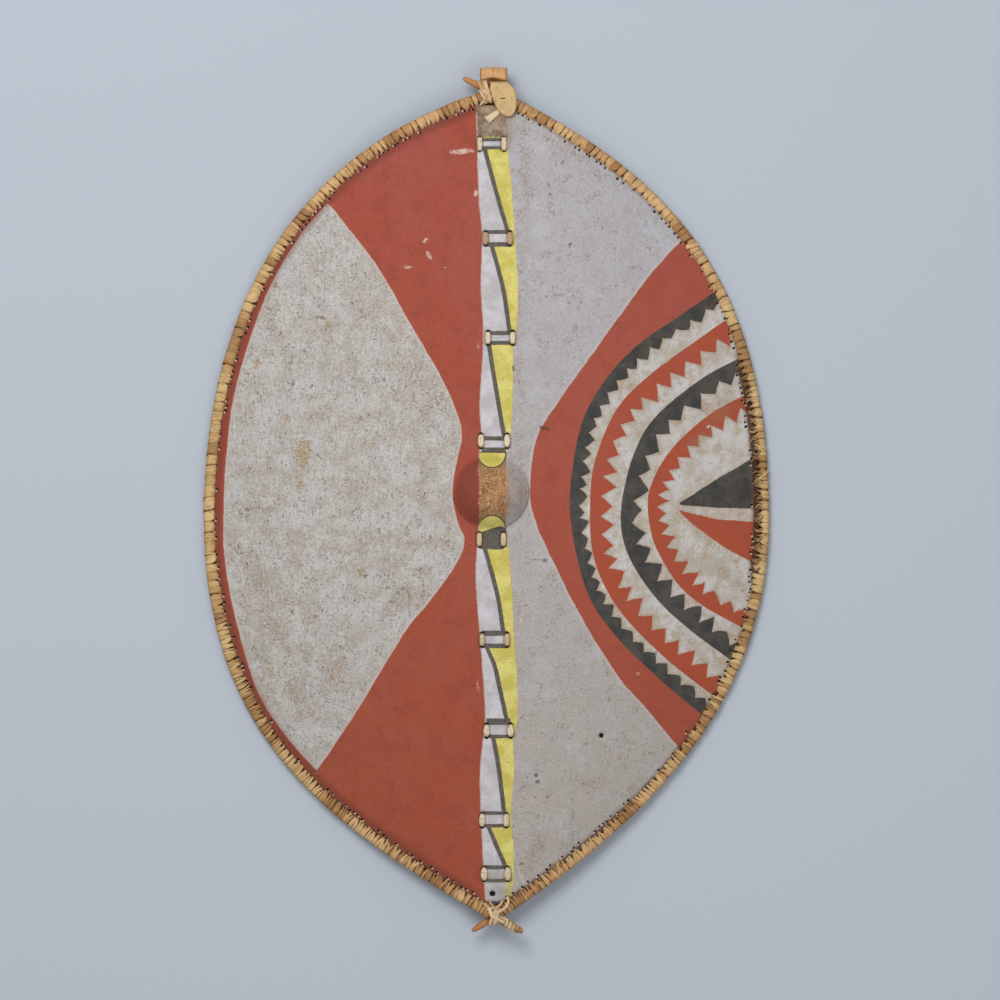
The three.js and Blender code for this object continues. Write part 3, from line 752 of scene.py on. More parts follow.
def wrap_turn(edge, start, step, zone, over_lift, rng):
    """The rows of one turn of the wrap: place, outward direction, width, thickness, tone, and the shares of
    painted shade on the arm and on the sides turned away from the light."""
    _, reach, waist, rough = zone
    if reach > SHORT_REACH:
        reach = SHORT_REACH + (reach - SHORT_REACH) * rng.uniform(0.1, 1.0)
    reach *= 1 + rng.uniform(-0.08, 0.08) * rough
    reach = min(reach, 4.5 + 0.8 * abs(edge.plain_at(start)[0]))
    radius = WRAP_RADIUS + rng.uniform(-0.3, 0.35) * rough
    rows = wrap_rows(reach, max(0.0, rng.uniform(-0.6, 0.7)) * rough, radius)
    inward, rise, out_inward, out_rise, share, over = rows.T[..., None]
    over, share = over[:, 0], share[:, 0]
    lean = rng.uniform(-0.22, 0.22) * rough * step
    skew = rng.uniform(-0.45, 0.45) * rough * step
    s = start + share * step + (lean * over + skew * (1 - over)) * (1 - share)
    centre, across, up = rim_frame(edge, s, over_lift)
    width = step * (1.04 + rng.uniform(-0.1, 0.14) * rough)
    drift = 0.5 + 0.45 * waves(start, 0, 61, 90)
    tone = np.clip(drift + rng.uniform(-0.5, 0.5) * (0.3 + 0.6 * rough), 0, 1)
    thickness = WRAP_THICKNESS * (1 + rng.uniform(-0.2, 0.25))
    return (
        centre + across * inward + up * rise,
        across * out_inward + up * out_rise,
        width * (waist + (1 - waist) * smooth(over)),
        np.full(len(rows), thickness),
        np.full(len(rows), tone),
        # Painted shade: the arms beside the hide darken, most where they are narrow, and the sides of the
        # turn darken as they face away from the light.
        (1 - over) * (1 - 0.6 * smooth((waist - 0.42) / 0.15)),
        np.clip(1 - out_rise[:, 0], 0, 1) * over,
    )


def ribbon(path, out, width, thickness, tone, arm=0.0):
    """A short loose strip, slimmer at both ends."""
    to_end = np.minimum(np.arange(len(path)), np.arange(len(path))[::-1])
    ends = smooth(to_end / 2 + 0.4)
    section = pillow(width * (0.5 + 0.5 * ends), thickness * (0.6 + 0.4 * ends))
    return strip(path, unit(out), section, tone, arm)


def rim_strip(edge, stops, width, thickness, tone, arm=0.0):
    """A loose strip through stops: length along the rim, inward, and height above the rim's centre."""
    stops = through(stops, 5)
    centre, across, up = rim_frame(edge, stops[:, 0])
    path = centre + across * stops[:, 1:2] + up * stops[:, 2:3]
    turn = smooth((stops[:, 1:2] + 7) / 9)
    return ribbon(path, up * (0.2 + 0.8 * turn) - across * (1 - turn), width, thickness, tone, arm)


def curl_strips(edge, rng):
    """Loose curls of the strip that come up through the hide beside the wrap."""
    strips = []
    s, last = (edge.length_at(y) for y in CURLS)
    while s < last:
        reach = rng.uniform(9.5, 13.5)
        bulge = rng.choice([-1, 1]) * rng.uniform(2.0, 5.0)
        top = ARM_LIFT + rng.uniform(0.6, 1.8)
        stops = [
            (s, reach, ARM_LIFT - 1.6),
            (s + bulge * 0.4, reach + 0.6, top - 0.3),
            (s + bulge, reach * 0.84, top + 0.8),
            (s + bulge * 0.8, reach * 0.66, top + 1.3),
            (s + bulge * 0.1, 5.2, 5.3),
            (s - bulge * 0.2, 3.4, 5.9),
        ]
        # arm: a share of painted shade on each curl, which stands in the shadow beside the wrap.
        width, tone, arm = rng.uniform(1.5, 2.6), rng.uniform(0, 1), rng.uniform(0.25, 0.9)
        strips.append(rim_strip(edge, stops, width, 1.2, tone, arm))
        s += rng.uniform(7.0, 17.0)
    return strips


def overlay_strips(word, edge):
    strips = []
    for y, slant, reach, width, tone in OVERLAYS[word]:
        s = edge.length_at(y)
        stops = [(s - slant * 0.6, reach, ARM_LIFT - 0.6), (s - slant * 0.45, reach * 0.8, ARM_LIFT + 1.2)]
        for degrees, lift in OVERLAY_LIFTS:
            turn = math.radians(degrees)
            radius = WRAP_RADIUS + lift
            stops.append((s + slant * (degrees - 60) / 110, radius * math.cos(turn), radius * math.sin(turn)))
        strips.append(rim_strip(edge, stops, width, 1.1, tone))
    return strips


def add_binding(word, over_lift, material, seed):
    edge, zones, starts = WRAPS[word]
    rng = np.random.default_rng(seed)
    turns = []
    for start, step in zip(starts, np.diff(starts)):
        zone = zone_at(zones, edge.plain_at(start)[1])
        turns.append(wrap_turn(edge, start, step, zone, over_lift, rng))
    path, out, width, thickness, tone, arm, side = (np.concatenate(rows) for rows in zip(*turns))
    strips = [strip(path, out, pillow(width, thickness), tone, arm, side)] + overlay_strips(word, edge)
    if word == "right":
        strips += curl_strips(edge, rng)
    points, faces, layout = join(strips)
    points[:, 2] = np.maximum(points[:, 2], FLOOR_CLEARANCE - SHIFT[2])
    add_piece(f"rim_wrap_{word}", f"rim_binding_{word}", "rim_rawhide", [material], points, faces, layout)


def stick_taper(to_end):
    return 0.42 + 0.58 * np.sqrt(np.clip(to_end / 16, 0, 1))


def add_stick(word, over, material, seed):
    edge = WRAPS[word][0]
    first, last = -edge.overruns[0], edge.length + edge.overruns[1]
    s = crowded_ends(first, last, 24, 13)
    centre, across, up = rim_frame(edge, s, over)
    scale = stick_taper(np.minimum(s - first, last - s)) * (1 + 0.05 * waves(s, 0, seed, 30))
    turn = around(14)
    rough = 1 + 0.03 * waves(s[:, None] * 0.6, np.sin(turn)[None, :] * 12, seed + 1, 14)
    radius = (STICK_RADIUS * WOOD_SCALE) * scale[:, None] * rough
    rows = (
        centre[:, None]
        + across[:, None] * (radius * np.cos(turn))[..., None]
        + up[:, None] * (radius * np.sin(turn))[..., None]
    )
    add_piece(f"rim_rod_{word}", f"rim_stick_{word}", "rim_wood", [material], *loft(rows), sharp=50)


# ---- Stave and lacing ----

THONG_FRONT = 7.2
THONG_LEG = 4.0
THONG_BACK = 5.2
THONG_THICKNESS = 2.3
THONG_HALF_HEIGHT = 6.2


def stave_halves(y):
    full = smooth(np.minimum(STAVE_TOP - y, y - STAVE_BOTTOM) / 160)
    return STAVE_HALF_THICKNESS * (0.68 + 0.32 * full), STAVE_HALF_WIDTH * (0.9 + 0.1 * full)


def stave_face(x, y):
    """The stave's upper face, level and a little lower at the grip."""
    bow = GRIP_BOW * smooth(1 - np.abs(y - BOSS_Y) / 50)
    return surface_height(x, y) - HIDE_HALF - STAVE_GAP - bow


def add_stave(material):
    y = crowded_ends(STAVE_BOTTOM, STAVE_TOP, 6, 5)
    x = sway_at(y)
    thick, wide = stave_halves(y)
    level = smooth((30 - np.abs(y - BOSS_Y)) / 12)
    face = stave_face(x, y) * (1 - level) + stave_face(0.0, BOSS_Y) * level
    end = np.sqrt(np.clip(np.minimum(STAVE_TOP - y, y - STAVE_BOTTOM) / 6, 0, 1))
    turn = around(24)
    shape_x, shape_z = (np.sign(v) * np.abs(v) ** 0.72 for v in (np.cos(turn), np.sin(turn)))
    cut = 1 + 0.035 * waves(y[:, None] * 0.5, turn[None, :] * 6, 21, 40)
    size = (0.55 + 0.45 * end)[:, None] * cut * WOOD_SCALE
    rows = vec(
        x[:, None] + 0.7 * waves(y, 0, 22, 180)[:, None] + shape_x * wide[:, None] * size,
        y[:, None],
        (face - thick)[:, None] + shape_z * thick[:, None] * size,
    )
    add_piece("stave_carved", "handle_stave", "stave_wood", [material], *loft(rows), sharp=55)


def thong_loop(y, sway, half, rng):
    """One closed thong about its station: stitches in front, legs through the hide, runs round the stave."""
    high = THONG_HALF_HEIGHT + rng.uniform(-0.8, 0.4)
    stitch = THONG_FRONT * rng.uniform(0.76, 1.08)
    thick, wide = stave_halves(y)
    height = surface_height(sway, y)
    under = -HIDE_HALF
    front = HIDE_HALF + 0.35 + THONG_THICKNESS / 2
    back = stave_face(sway, y) - height - 2 * thick - 0.5 - THONG_THICKNESS / 2
    beside = wide + 0.4 + THONG_THICKNESS / 2
    d = math.sqrt(0.5)
    # Place, outward direction and width, from the middle of the left stitch to the middle of the upper run.
    quarter = np.array([
        (-half, -high * 0.45, front + 0.35, 0, 0, 1, stitch),
        (-half, high * 0.45, front + 0.35, 0, 0, 1, stitch),
        (-half, high - 0.6, front - 0.3, 0, 0.5, 0.85, THONG_LEG + 1.2),
        (-half, high + 0.3, front - 2.2, 0, 1, 0.2, THONG_LEG),
        (-half, high, under - 0.2, 0, 1, 0, THONG_LEG),
        (-half, high, under - 1.8, -d, d, 0, THONG_LEG),
        (-beside - 0.3, high, (back + under) / 2, -1, 0, 0, THONG_BACK),
        (-beside, high, back + 1.4, -d, 0, -d, THONG_BACK),
        (-wide * 0.62, high, back - 0.2, 0, 0, -1, THONG_BACK),
    ])
    upper = np.concatenate([quarter, quarter[::-1] * [-1, 1, 1, -1, 1, 1, 1]])[1:-1]
    rows = through(np.concatenate([upper, upper * [-1, -1, 1, -1, -1, 1, 1]]), 3, closed=True)
    path = rows[:, :3]
    section = pillow(rows[:, 6], THONG_THICKNESS)
    tilt = math.atan((surface_height(sway, y + 4) - surface_height(sway, y - 4)) / 8)
    c, s = math.cos(tilt), math.sin(tilt)
    tilted = np.array([[1, 0, 0], [0, c, s], [0, -s, c]])
    return sweep(path, unit(rows[:, 3:6]), section, looped=True) @ tilted + [sway, y, height], path


def add_lacing(material):
    rng = np.random.default_rng(31)
    for i, (y, sway, half) in enumerate(STATIONS, 1):
        rows, path = thong_loop(y, sway, half, rng)
        layout = strip_layout(path, rng.uniform(0, 1))
        node = f"spine_lacing_{i}"
        add_piece(f"lacing_thong_{i}", node, "lacing_rawhide", [material], *loft(rows, looped=True), layout)


# ---- Tips ----

END_PITCH = 4.4
LASHING_HALF_HEIGHT = 9.2
LASHING_WIDTH = 8.0
STRAND_PROUD = 1.1
# Loose strands over the crossings: x, y and height above the rim's centre, then width, tone.
BOTTOM_STRANDS = [
    ([(13.5, -446, 7.5), (15, -452.5, 9.5), (9.5, -459.5, 10.8), (3, -464, 11)], 2.8, 1),
    ([(-7.5, -458, 9.2), (-5, -463, 11), (-2, -470, 11.6)], 4.4, 1),
    ([(-4, -467.5, 11.4), (4, -471.5, 11.3), (11, -475, 9.8)], 3.6, 0.8),
    ([(8.5, -469.5, 9.4), (13.5, -472.5, 10.4), (12.5, -479, 9.4)], 2.8, 0.9),
    ([(-13, -453, 6.4), (-8, -457.5, 9), (-1, -459, 10.2), (5, -456, 8.8), (9, -450, 6.4)], 3, 0.45),
    ([(-7, -450, 6), (-3, -456, 8.6), (3, -460.5, 10.4), (10, -462, 9.6)], 2.6, 0.3),
]
TOP_STRANDS = [
    ([(-17.5, 461, 8.6), (-14.5, 455, 10.6), (-11, 450, 9.6), (-9.5, 446, 7)], 2.6, 1),
    ([(-14, 461, 11), (-9, 457, 12), (-3.5, 451.5, 9.6)], 3.4, 0.8),
    ([(-12.5, 449, 8.2), (-14.5, 446.5, 7.4), (-17, 444, 5.6)], 2.4, 0.9),
]


def ring_path(half_y, half_z, radius, steps=5):
    """A rounded rectangle, once round."""
    points = []
    for k, (sy, sz) in enumerate([(1, 1), (-1, 1), (-1, -1), (1, -1)]):
        for step in range(steps + 1):
            turn = math.pi / 2 * (k + step / steps)
            points.append((
                sy * (half_y - radius) + radius * math.cos(turn),
                sz * (half_z - radius) + radius * math.sin(turn),
            ))
    return np.array(points)


def wrapped_end(edge, rng):
    """A thin strip wound round a stick's lower end."""
    first, last = edge.length + 5, edge.length + edge.overruns[1] - 3
    s = np.linspace(first, last, int((last - first) / END_PITCH * 12))
    turn = (s - first) / END_PITCH * 2 * math.pi
    centre, across, up = rim_frame(edge, s, STICK_CROSSING)
    radius = STICK_RADIUS * stick_taper(edge.length + edge.overruns[1] - s) + 0.55
    out = across * np.cos(turn)[:, None] + up * np.sin(turn)[:, None]
    width = END_PITCH * 0.92 * (1 + rng.uniform(-0.1, 0.1, len(s)))
    tone = np.clip(0.55 + 0.45 * waves(s, 0, 5, 9), 0, 1)
    # side=0.15 lays a little painted shade over the whole wound strip.
    return strip(centre + out * radius[:, None], out, pillow(width, 0.9), tone, side=0.15)


def add_lashing(end, middle, half_y, leans, strands, material, seed):
    """Thin strands of rawhide wound round the two crossing sticks."""
    rng = np.random.default_rng(seed)
    rim = rim_height(middle[1])
    parts = []
    for k, lean in enumerate(leans):
        shift = (k - (len(leans) - 1) / 2) * LASHING_WIDTH / len(leans)
        loop = ring_path(half_y + STRAND_PROUD, LASHING_HALF_HEIGHT + STRAND_PROUD, 4.2)
        turn = np.arctan2(loop[:, 1], loop[:, 0])
        grow = 1 + rng.uniform(-0.01, 0.02)
        bend = rng.uniform(0.2, 0.7) * np.sin(turn + rng.uniform(0, 6))
        path = vec(shift + lean * loop[:, 0] / half_y + bend, loop[:, 0] * grow, loop[:, 1] * grow)
        out = unit(vec(0.0, loop[:, 0] / half_y, loop[:, 1] / 10))
        section = pillow(4.2 * rng.uniform(0.8, 1.1), 1.5)
        parts.append(strip(path + [*middle, rim], out, section, rng.uniform(0.2, 1), looped=True))
    if end == "bottom":
        parts.append(wrapped_end(LEFT, rng))
    for stops, width, tone in strands:
        path = through(np.array(stops) + [0, 0, rim], 5)
        parts.append(ribbon(path, np.broadcast_to([0.0, 0.0, 1.0], path.shape), width, 1.1, tone))
    add_piece(f"tip_thongs_{end}", f"tip_lashing_{end}", "tip_rawhide", [material], *join(parts))


def sheet_piece(name, node, grid, thickness, material, hole=()):
    """A curved sheet of rawhide from a grid of points, with rounded edges. hole says which cells are open."""
    rows, columns = grid.shape[0] - 1, grid.shape[1] - 1
    normal = unit(np.cross(np.gradient(grid, axis=1), np.gradient(grid, axis=0)))
    r = np.arange(rows + 1)[:, None] / rows
    c = np.arange(columns + 1)[None, :] / columns
    edge = np.minimum(np.minimum(r, 1 - r) * rows, np.minimum(c, 1 - c) * columns)
    half = thickness / 2 * (0.35 + 0.65 * np.sqrt(np.clip(edge / 1.2, 0, 1)))[..., None]
    count = edge.size
    points = np.concatenate([(grid + normal * half).reshape(-1, 3), (grid - normal * half).reshape(-1, 3)])
    cells, _ = grid_faces(edge.shape)
    faces, borders = [], {}
    for k, cell in enumerate(cells):
        if divmod(k, columns) in hole:
            continue
        faces += [cell, [count + place for place in cell[::-1]]]
        borders.update(dict.fromkeys(zip(cell, cell[1:] + cell[:1])))
    faces += [[a, count + a, count + b, b] for a, b in borders if (b, a) not in borders]
    # side: painted shade along the sheet's rounded edges.
    side = np.tile(1 - np.clip(edge / 1.6, 0, 1).ravel(), 2)
    add_piece(name, node, "tip_rawhide", [material], points, faces, {"side": side * 0.8}, sharp=60)


def add_tongue(material):
    top, bottom, half_width = 470.0, 431.0, 14.3
    rest_y, rest_z, tip_z = 455.0, 37.3, 35.6
    y = top + (bottom - top) * np.linspace(0, 1, 31)[:, None] ** 0.85
    v = (top - y) / (top - bottom)
    half = half_width * np.sqrt(np.maximum(0.004, 1 - v ** 3.2)) * (0.7 + 0.3 * smooth(v / 0.25))
    c = np.linspace(-1, 1, 25)[None, :]
    x = 3.6 + 11 * v ** 0.6 + half * c
    slope = (rest_z - tip_z) / (rest_y - bottom)
    curl = 1.1 * np.abs(c) ** 3 * smooth(v / 0.3) + 1.2 * smooth((v - 0.8) / 0.2)
    z = rest_z - slope * np.maximum(0, rest_y - y) + curl * 0.8 + 0.3 * waves(x, y, 41, 30)
    slit = [(12, column) for column in range(8, 13)]
    sheet_piece("tongue_leaf", "hanging_tongue", vec(x, y, z), 2.2, material, slit)


def add_strap(material):
    route = through([
        (427, 25.4), (432, 19.5), (439, 13.4), (448, 13), (461, 13.2), (474, 13.4), (483, 17), (486, 25),
        (483, 32.5), (473.6, 34.8),
    ], 5)
    share = np.linspace(0, 1, len(route))[:, None]
    left = -17 + 1.2 * smooth((share - 0.75) / 0.25)
    right = 14 - 1.0 * smooth((share - 0.8) / 0.2)
    x = left + (right - left) * (np.linspace(-1, 1, 17)[None, :] + 1) / 2
    y = route[:, 0:1] + 0.8 * waves(x, share * 40, 43, 30) * share ** 4
    z = route[:, 1:2] + 0.35 * waves(x, share * 60, 44, 26)
    sheet_piece("strap_fold", "hanging_strap", vec(x, y, z), 2.3, material)


def add_tie(material):
    start, end = np.array([6.0, 438.0]), np.array([-9.3, 426.0])
    along = unit(end - start)
    sideways = np.array([-along[1], along[0]])
    share = np.linspace(0, 1, 11)[:, None]
    c = np.linspace(-1, 1, 7)
    spots = (start + (end - start) * share)[:, None] + sideways * ((2.6 + 2.0 * share) * c)[..., None]
    lift = HIDE_HALF + 0.35 + 0.8 + 1.2 * share ** 2 * (0.4 + 0.6 * np.abs(c))
    grid = on_surface(spots[..., 0], spots[..., 1], lift)
    sheet_piece("tie_end", "tongue_tie", grid, 1.6, material)


# ---- Materials ----

def rgb(*display):
    """A display colour as the linear one that the nodes take."""
    shares = [v / 255 for v in display]
    return tuple(v / 12.92 if v <= 0.04045 else ((v + 0.055) / 1.055) ** 2.4 for v in shares)


class Value:
    """A node's output that can be reckoned with."""

    def __init__(self, graph, socket):
        self.graph = graph
        self.socket = socket

    def __abs__(self):
        return self.graph.math("ABSOLUTE", self)

    def above(self, limit=0, soft=0.5):
        """One where the value is above limit, nought where it is below."""
        return self.graph.ramp(self, limit - soft, limit + soft)

    def below(self, limit, soft=0.5):
        return self.graph.ramp(self, limit + soft, limit - soft)


OPERATORS = {"add": "ADD", "sub": "SUBTRACT", "mul": "MULTIPLY", "truediv": "DIVIDE", "pow": "POWER"}
for word, operation in OPERATORS.items():
    setattr(Value, f"__{word}__", lambda a, b, operation=operation: a.graph.math(operation, a, b))
    setattr(Value, f"__r{word}__", lambda a, b, operation=operation: a.graph.math(operation, b, a))


class Graph:
    """A material's nodes."""

    def __init__(self, name):
        self.material = bpy.data.materials.new(name)
        self.material.use_nodes = True
        self.tree = self.material.node_tree
        self.tree.nodes.clear()
        output = self.tree.nodes.new("ShaderNodeOutputMaterial")
        self.shader = self.tree.nodes.new("ShaderNodeBsdfPrincipled")
        self.tree.links.new(self.shader.outputs[0], output.inputs["Surface"])
        place = self.tree.nodes.new("ShaderNodeTexCoord").outputs["Object"]
        self.place = self.node("ShaderNodeVectorMath", {0: place, "Scale": 1 / MM}, operation="SCALE")

    def feed(self, socket, value):
        if isinstance(value, Value):
            value = value.socket
        if isinstance(value, bpy.types.NodeSocket):
            self.tree.links.new(value, socket)
        elif isinstance(value, tuple) and socket.type == "RGBA":
            socket.default_value = (*value, 1)
        else:
            socket.default_value = value

    def node(self, kind, inputs, output=0, **settings):
        made = self.tree.nodes.new(kind)
        for key, value in settings.items():
            setattr(made, key, value)
        for key, value in inputs.items():
            self.feed(made.inputs[key], value)
        return Value(self, made.outputs[output])

    def math(self, operation, *values):
        return self.node("ShaderNodeMath", dict(enumerate(values)), operation=operation)

    def ramp(self, value, low, high):
        inputs = {"Value": value, "From Min": low, "From Max": high}
        return self.node("ShaderNodeMapRange", inputs, interpolation_type="SMOOTHSTEP")

    def attribute(self, name):
        return self.node("ShaderNodeAttribute", {}, output="Fac", attribute_name=name)

    def attributes(self, names):
        return [self.attribute(name) for name in names.split()]

    def stretched(self, x, y, z):
        return self.node("ShaderNodeMapping", {"Vector": self.place, "Scale": (x, y, z)})

    def noise(self, scale, detail, roughness=0.55, vector=None, distortion=0):
        inputs = {
            "Vector": vector or self.place, "Scale": scale, "Detail": detail, "Roughness": roughness,
            "Distortion": distortion,
        }
        return self.node("ShaderNodeTexNoise", inputs)

    def chance(self, value):
        return self.node("ShaderNodeTexWhiteNoise", {"W": value}, noise_dimensions="1D")

    def away(self, a, b):
        return (a * a + b * b) ** 0.5

    def mix(self, share, a, b):
        return self.node("ShaderNodeMix", {0: share, 6: a, 7: b}, output=2, data_type="RGBA")

    def stack(self, color, *coats):
        """A colour with others laid over it in turn, each by its share."""
        for share, over in coats:
            color = self.mix(share, color, over)
        return color

    def coated(self, masks, color, *coats):
        """A display colour with others over it: mask, the values it is ramped between, share, colour."""
        color = rgb(*color)
        for name, low, high, share, *over in coats:
            mask = masks[name] if low is None else self.ramp(masks[name], low, high)
            color = self.mix(mask * share, color, rgb(*over))
        return color

    def finish(self, color, roughness, height=None, distance=0, specular=0.5):
        self.feed(self.shader.inputs["Base Color"], color)
        self.feed(self.shader.inputs["Roughness"], roughness)
        self.shader.inputs["Specular IOR Level"].default_value = specular
        if height is not None:
            bump = self.node("ShaderNodeBump", {"Height": height, "Distance": distance, "Strength": 1})
            self.feed(self.shader.inputs["Normal"], bump)
        return self.material


# The paints: the first colour, then what lies over it, as Graph.coated takes it.
PAINTS = {
    "pale": [
        (181, 172, 162), ("cloud", 0.38, 0.62, 1, 199, 194, 188), ("patch", 0.46, 0.64, 0.5, 197, 197, 198),
        ("warm", 0.5, 0.66, 0.34, 172, 157, 138), ("streaks", 0.5, 0.64, 0.5, 160, 149, 134),
        ("grain", 0.49, 0.66, 0.62, 146, 135, 122), ("grain", 0.5, 0.35, 0.6, 216, 211, 206),
        ("fleck", 0.645, 0.685, 0.6, 110, 98, 86), ("cracks", None, None, 0.7, 116, 104, 90),
    ],
    "lilac": [
        # The height coat makes the lilac darker and warmer towards the bottom, partly its own tone, partly
        # painted shade as the light falls off.
        (184, 180, 183), ("height", 380, -430, 1, 182, 173, 164), ("cloud", 0.42, 0.66, 0.35, 170, 161, 156),
        ("warm", 0.54, 0.7, 0.4, 174, 152, 134), ("patch", 0.5, 0.68, 0.4, 194, 194, 199),
        ("streaks", 0.56, 0.74, 0.35, 160, 146, 138), ("grain", 0.52, 0.68, 0.45, 150, 138, 130),
        ("grain", 0.46, 0.34, 0.45, 210, 204, 202), ("fleck", 0.645, 0.685, 0.35, 110, 98, 90),
        ("cracks", None, None, 0.6, 116, 104, 96),
    ],
    "light": [
        (188, 176, 160), ("cloud", 0.36, 0.64, 1, 208, 203, 200), ("warm", 0.5, 0.64, 0.65, 178, 154, 120),
        ("grain", 0.51, 0.66, 0.5, 150, 134, 114), ("grain", 0.46, 0.32, 0.5, 224, 219, 214),
    ],
    "red": [
        # The height coat makes the red darker towards the bottom, partly its own tone, partly painted shade
        # as the light falls off.
        (169, 83, 70), ("height", 380, -430, 1, 166, 83, 58), ("broad", 0.4, 0.58, 0.6, 168, 76, 52),
        ("cloud", 0.48, 0.66, 0.5, 148, 72, 58), ("streaks", 0.5, 0.68, 0.4, 148, 72, 56),
        ("grain", 0.53, 0.68, 0.35, 142, 68, 52), ("grain", 0.46, 0.34, 0.25, 184, 102, 84),
        ("grit", 0.68, 0.74, 0.35, 196, 124, 104),
    ],
    "black": [(62, 61, 59), ("cloud", 0.38, 0.62, 1, 84, 79, 72), ("grain", 0.55, 0.7, 0.45, 104, 98, 90)],
    "yellow": [
        (208, 193, 94), ("cloud", 0.38, 0.62, 1, 230, 218, 128), ("grain", 0.52, 0.66, 0.5, 168, 152, 72),
        ("grit", 0.66, 0.72, 0.7, 104, 96, 60),
    ],
    "dark": [(84, 78, 70), ("grain", 0.38, 0.62, 1, 112, 104, 96)],
    "cool": [
        (190, 184, 184), ("cloud", 0.36, 0.64, 1, 212, 207, 211), ("grain", 0.52, 0.68, 0.5, 150, 142, 136),
    ],
    "bare": [
        (158, 136, 112), ("cloud", 0.38, 0.62, 1, 128, 106, 86), ("grain", 0.48, 0.68, 0.4, 104, 84, 66),
        ("warm", 0.5, 0.64, 0.5, 190, 172, 152), ("streaks", 0.5, 0.64, 0.25, 196, 178, 156),
    ],
    # On the boss, the pale orange veins and the near-white specks are partly its mottled wear, partly painted
    # highlights.
    "boss": [
        (188, 138, 92), ("cloud", 0.4, 0.62, 1, 146, 96, 62), ("grain", 0.44, 0.64, 0.7, 104, 70, 46),
        ("veins", 0.044, 0.012, 0.6, 228, 180, 124), ("grit", 0.58, 0.68, 0.75, 236, 206, 168),
        ("off_middle", 16, 36, 0.6, 128, 108, 86),
    ],
}


def paints(g, y):
    """The noises that the hide's paints are made of, and the paints, by name."""
    masks = {
        "cloud": g.noise(0.05, 4, 0.65),
        "grain": g.noise(0.4, 4, 0.75),
        "grit": g.noise(0.8, 2, 0.6),
        "broad": g.noise(0.012, 3),
        "patch": g.noise(0.026, 4, 0.62),
        "warm": g.noise(0.075, 4, 0.7),
        "streaks": g.noise(1, 4, 0.65, g.stretched(0.36, 0.07, 0.3)),
        "fleck": g.noise(0.27, 2, 0.5),
        "veins": abs(g.noise(0.16, 3, 0.6, distortion=1.2) - 0.5),
        # height is the place along the shield; the lilac and the red darken along it, partly as painted
        # shade.
        "height": y,
        "off_middle": abs(y - 10),
    }
    cracks = abs(g.noise(0.1, 3, 0.6, distortion=0.9) - 0.5).below(0.022, 0.014)
    masks["cracks"] = cracks * g.noise(0.06, 3, 0.6).above(0.575, 0.02) * g.ramp(masks["grain"], 0.4, 0.5)
    paint = {name: g.coated(masks, *coats) for name, coats in PAINTS.items()}
    paint["outer_red"] = g.mix(0.35, paint["red"], rgb(174, 86, 68))
    paint["tooth_red"] = g.mix(g.ramp(masks["cloud"], 0.42, 0.6) * 0.4 + 0.2, paint["red"], rgb(184, 84, 52))
    return masks, paint


def toothed_bands(g, color, paint, wander):
    """The four toothed bands of the right side, one inside the next, and the two wedges."""
    for k, (name, (_, solid, height, point, _)) in enumerate(BANDS.items()):
        depth = g.attribute(name) + wander * 0.2
        count = g.attribute(name + "_run")
        drift = g.node("ShaderNodeTexNoise", {"W": count, "Scale": 0.8, "Detail": 1}, noise_dimensions="1D")
        count = count + (drift - 0.5) * 0.35 + wander * 0.012
        phase, number = g.math("FRACT", count), g.math("FLOOR", count)
        size = g.chance(number + k * 31) * 0.5 + 0.75
        middle = g.chance(number + k * 17 + 0.5) * 0.2 + 0.4
        rise = g.math("MINIMUM", phase / middle, (1 - phase) / (1 - middle))
        edge = rise ** point * size * height + solid - depth + wander * 0.35
        if k == 0:
            color = g.mix(depth.above(4), color, paint["light"])
        ink = paint["black" if name.startswith("black") else "tooth_red"]
        halo = depth.above() * edge.above(-3.2, 1.6)
        color = g.stack(color, (halo * 0.4, rgb(168, 140, 108)), (depth.above() * edge.above(), ink))
    for name, ink in (("black_wedge", "black"), ("red_wedge", "tooth_red")):
        depth = g.attribute(name) + wander * 0.4
        halo = depth.above(-2.4, 1.2) * 0.35
        color = g.stack(color, (halo, rgb(190, 170, 146)), (depth.above(), paint[ink]))
    return color


def painted_spine(g, y, paint, wander):
    """The painted column down the middle."""
    diagonal = g.attribute("diagonal") + wander * 0.3
    bar = g.attribute("bar") + wander * 0.07
    beside, cup, block = (value + wander * 0.2 for value in g.attributes("bar_side cup block"))
    beside = beside.above(0, 0.6)
    return g.stack(
        paint["cool"],
        (diagonal.above(0, 0.3), paint["yellow"]),
        (abs(diagonal).below(2.5) * y.above(-424, 1), paint["dark"]),
        (bar.below(1, 0.08) * beside, paint["dark"]),
        (bar.below(0, 0.08) * beside, paint["cool"]),
        (y.below(52.5, 1) * y.above(-33, 1), paint["boss"]),
        (cup.above(-1.3, 0.4), rgb(92, 78, 56)),
        (cup.above(0, 0.4), paint["yellow"]),
        (block.above(0, 0.4), paint["dark"]),
        (y.below(-418, 8) * g.ramp(wander, -1.5, 1) * 0.55, rgb(148, 136, 120)),
        ((y + wander).above(407, 1.5), paint["bare"]),
    )


def rim_holes(g, grit):
    """Holes in the hide where the wrap passes through, painted near-black as the shade inside them, and pale
    spots beside them, painted highlights on the strip ends.
    """
    turn = g.attribute("rim_turn") + 0.5
    number = g.math("FLOOR", turn)
    off = (turn - number - 0.5 + (g.chance(number) - 0.5) * 0.6) * HOLE_PITCH
    inward = g.attribute("rim_depth") - g.attribute("rim_reach") - 0.3
    deep = inward - g.chance(number + 0.37) * 3.2
    there = g.chance(number + 0.61).above(0.36, 0.01) * g.attribute("rim_wrapped").above(0, 1)
    hole = g.away(off, deep) + (grit - 0.5) * 2.4 + g.chance(number + 0.83) * 0.7
    end = g.away(off - 2.1, deep + 0.8)
    return hole.below(1.7, 0.4) * there, end.below(1.1, 0.4) * there


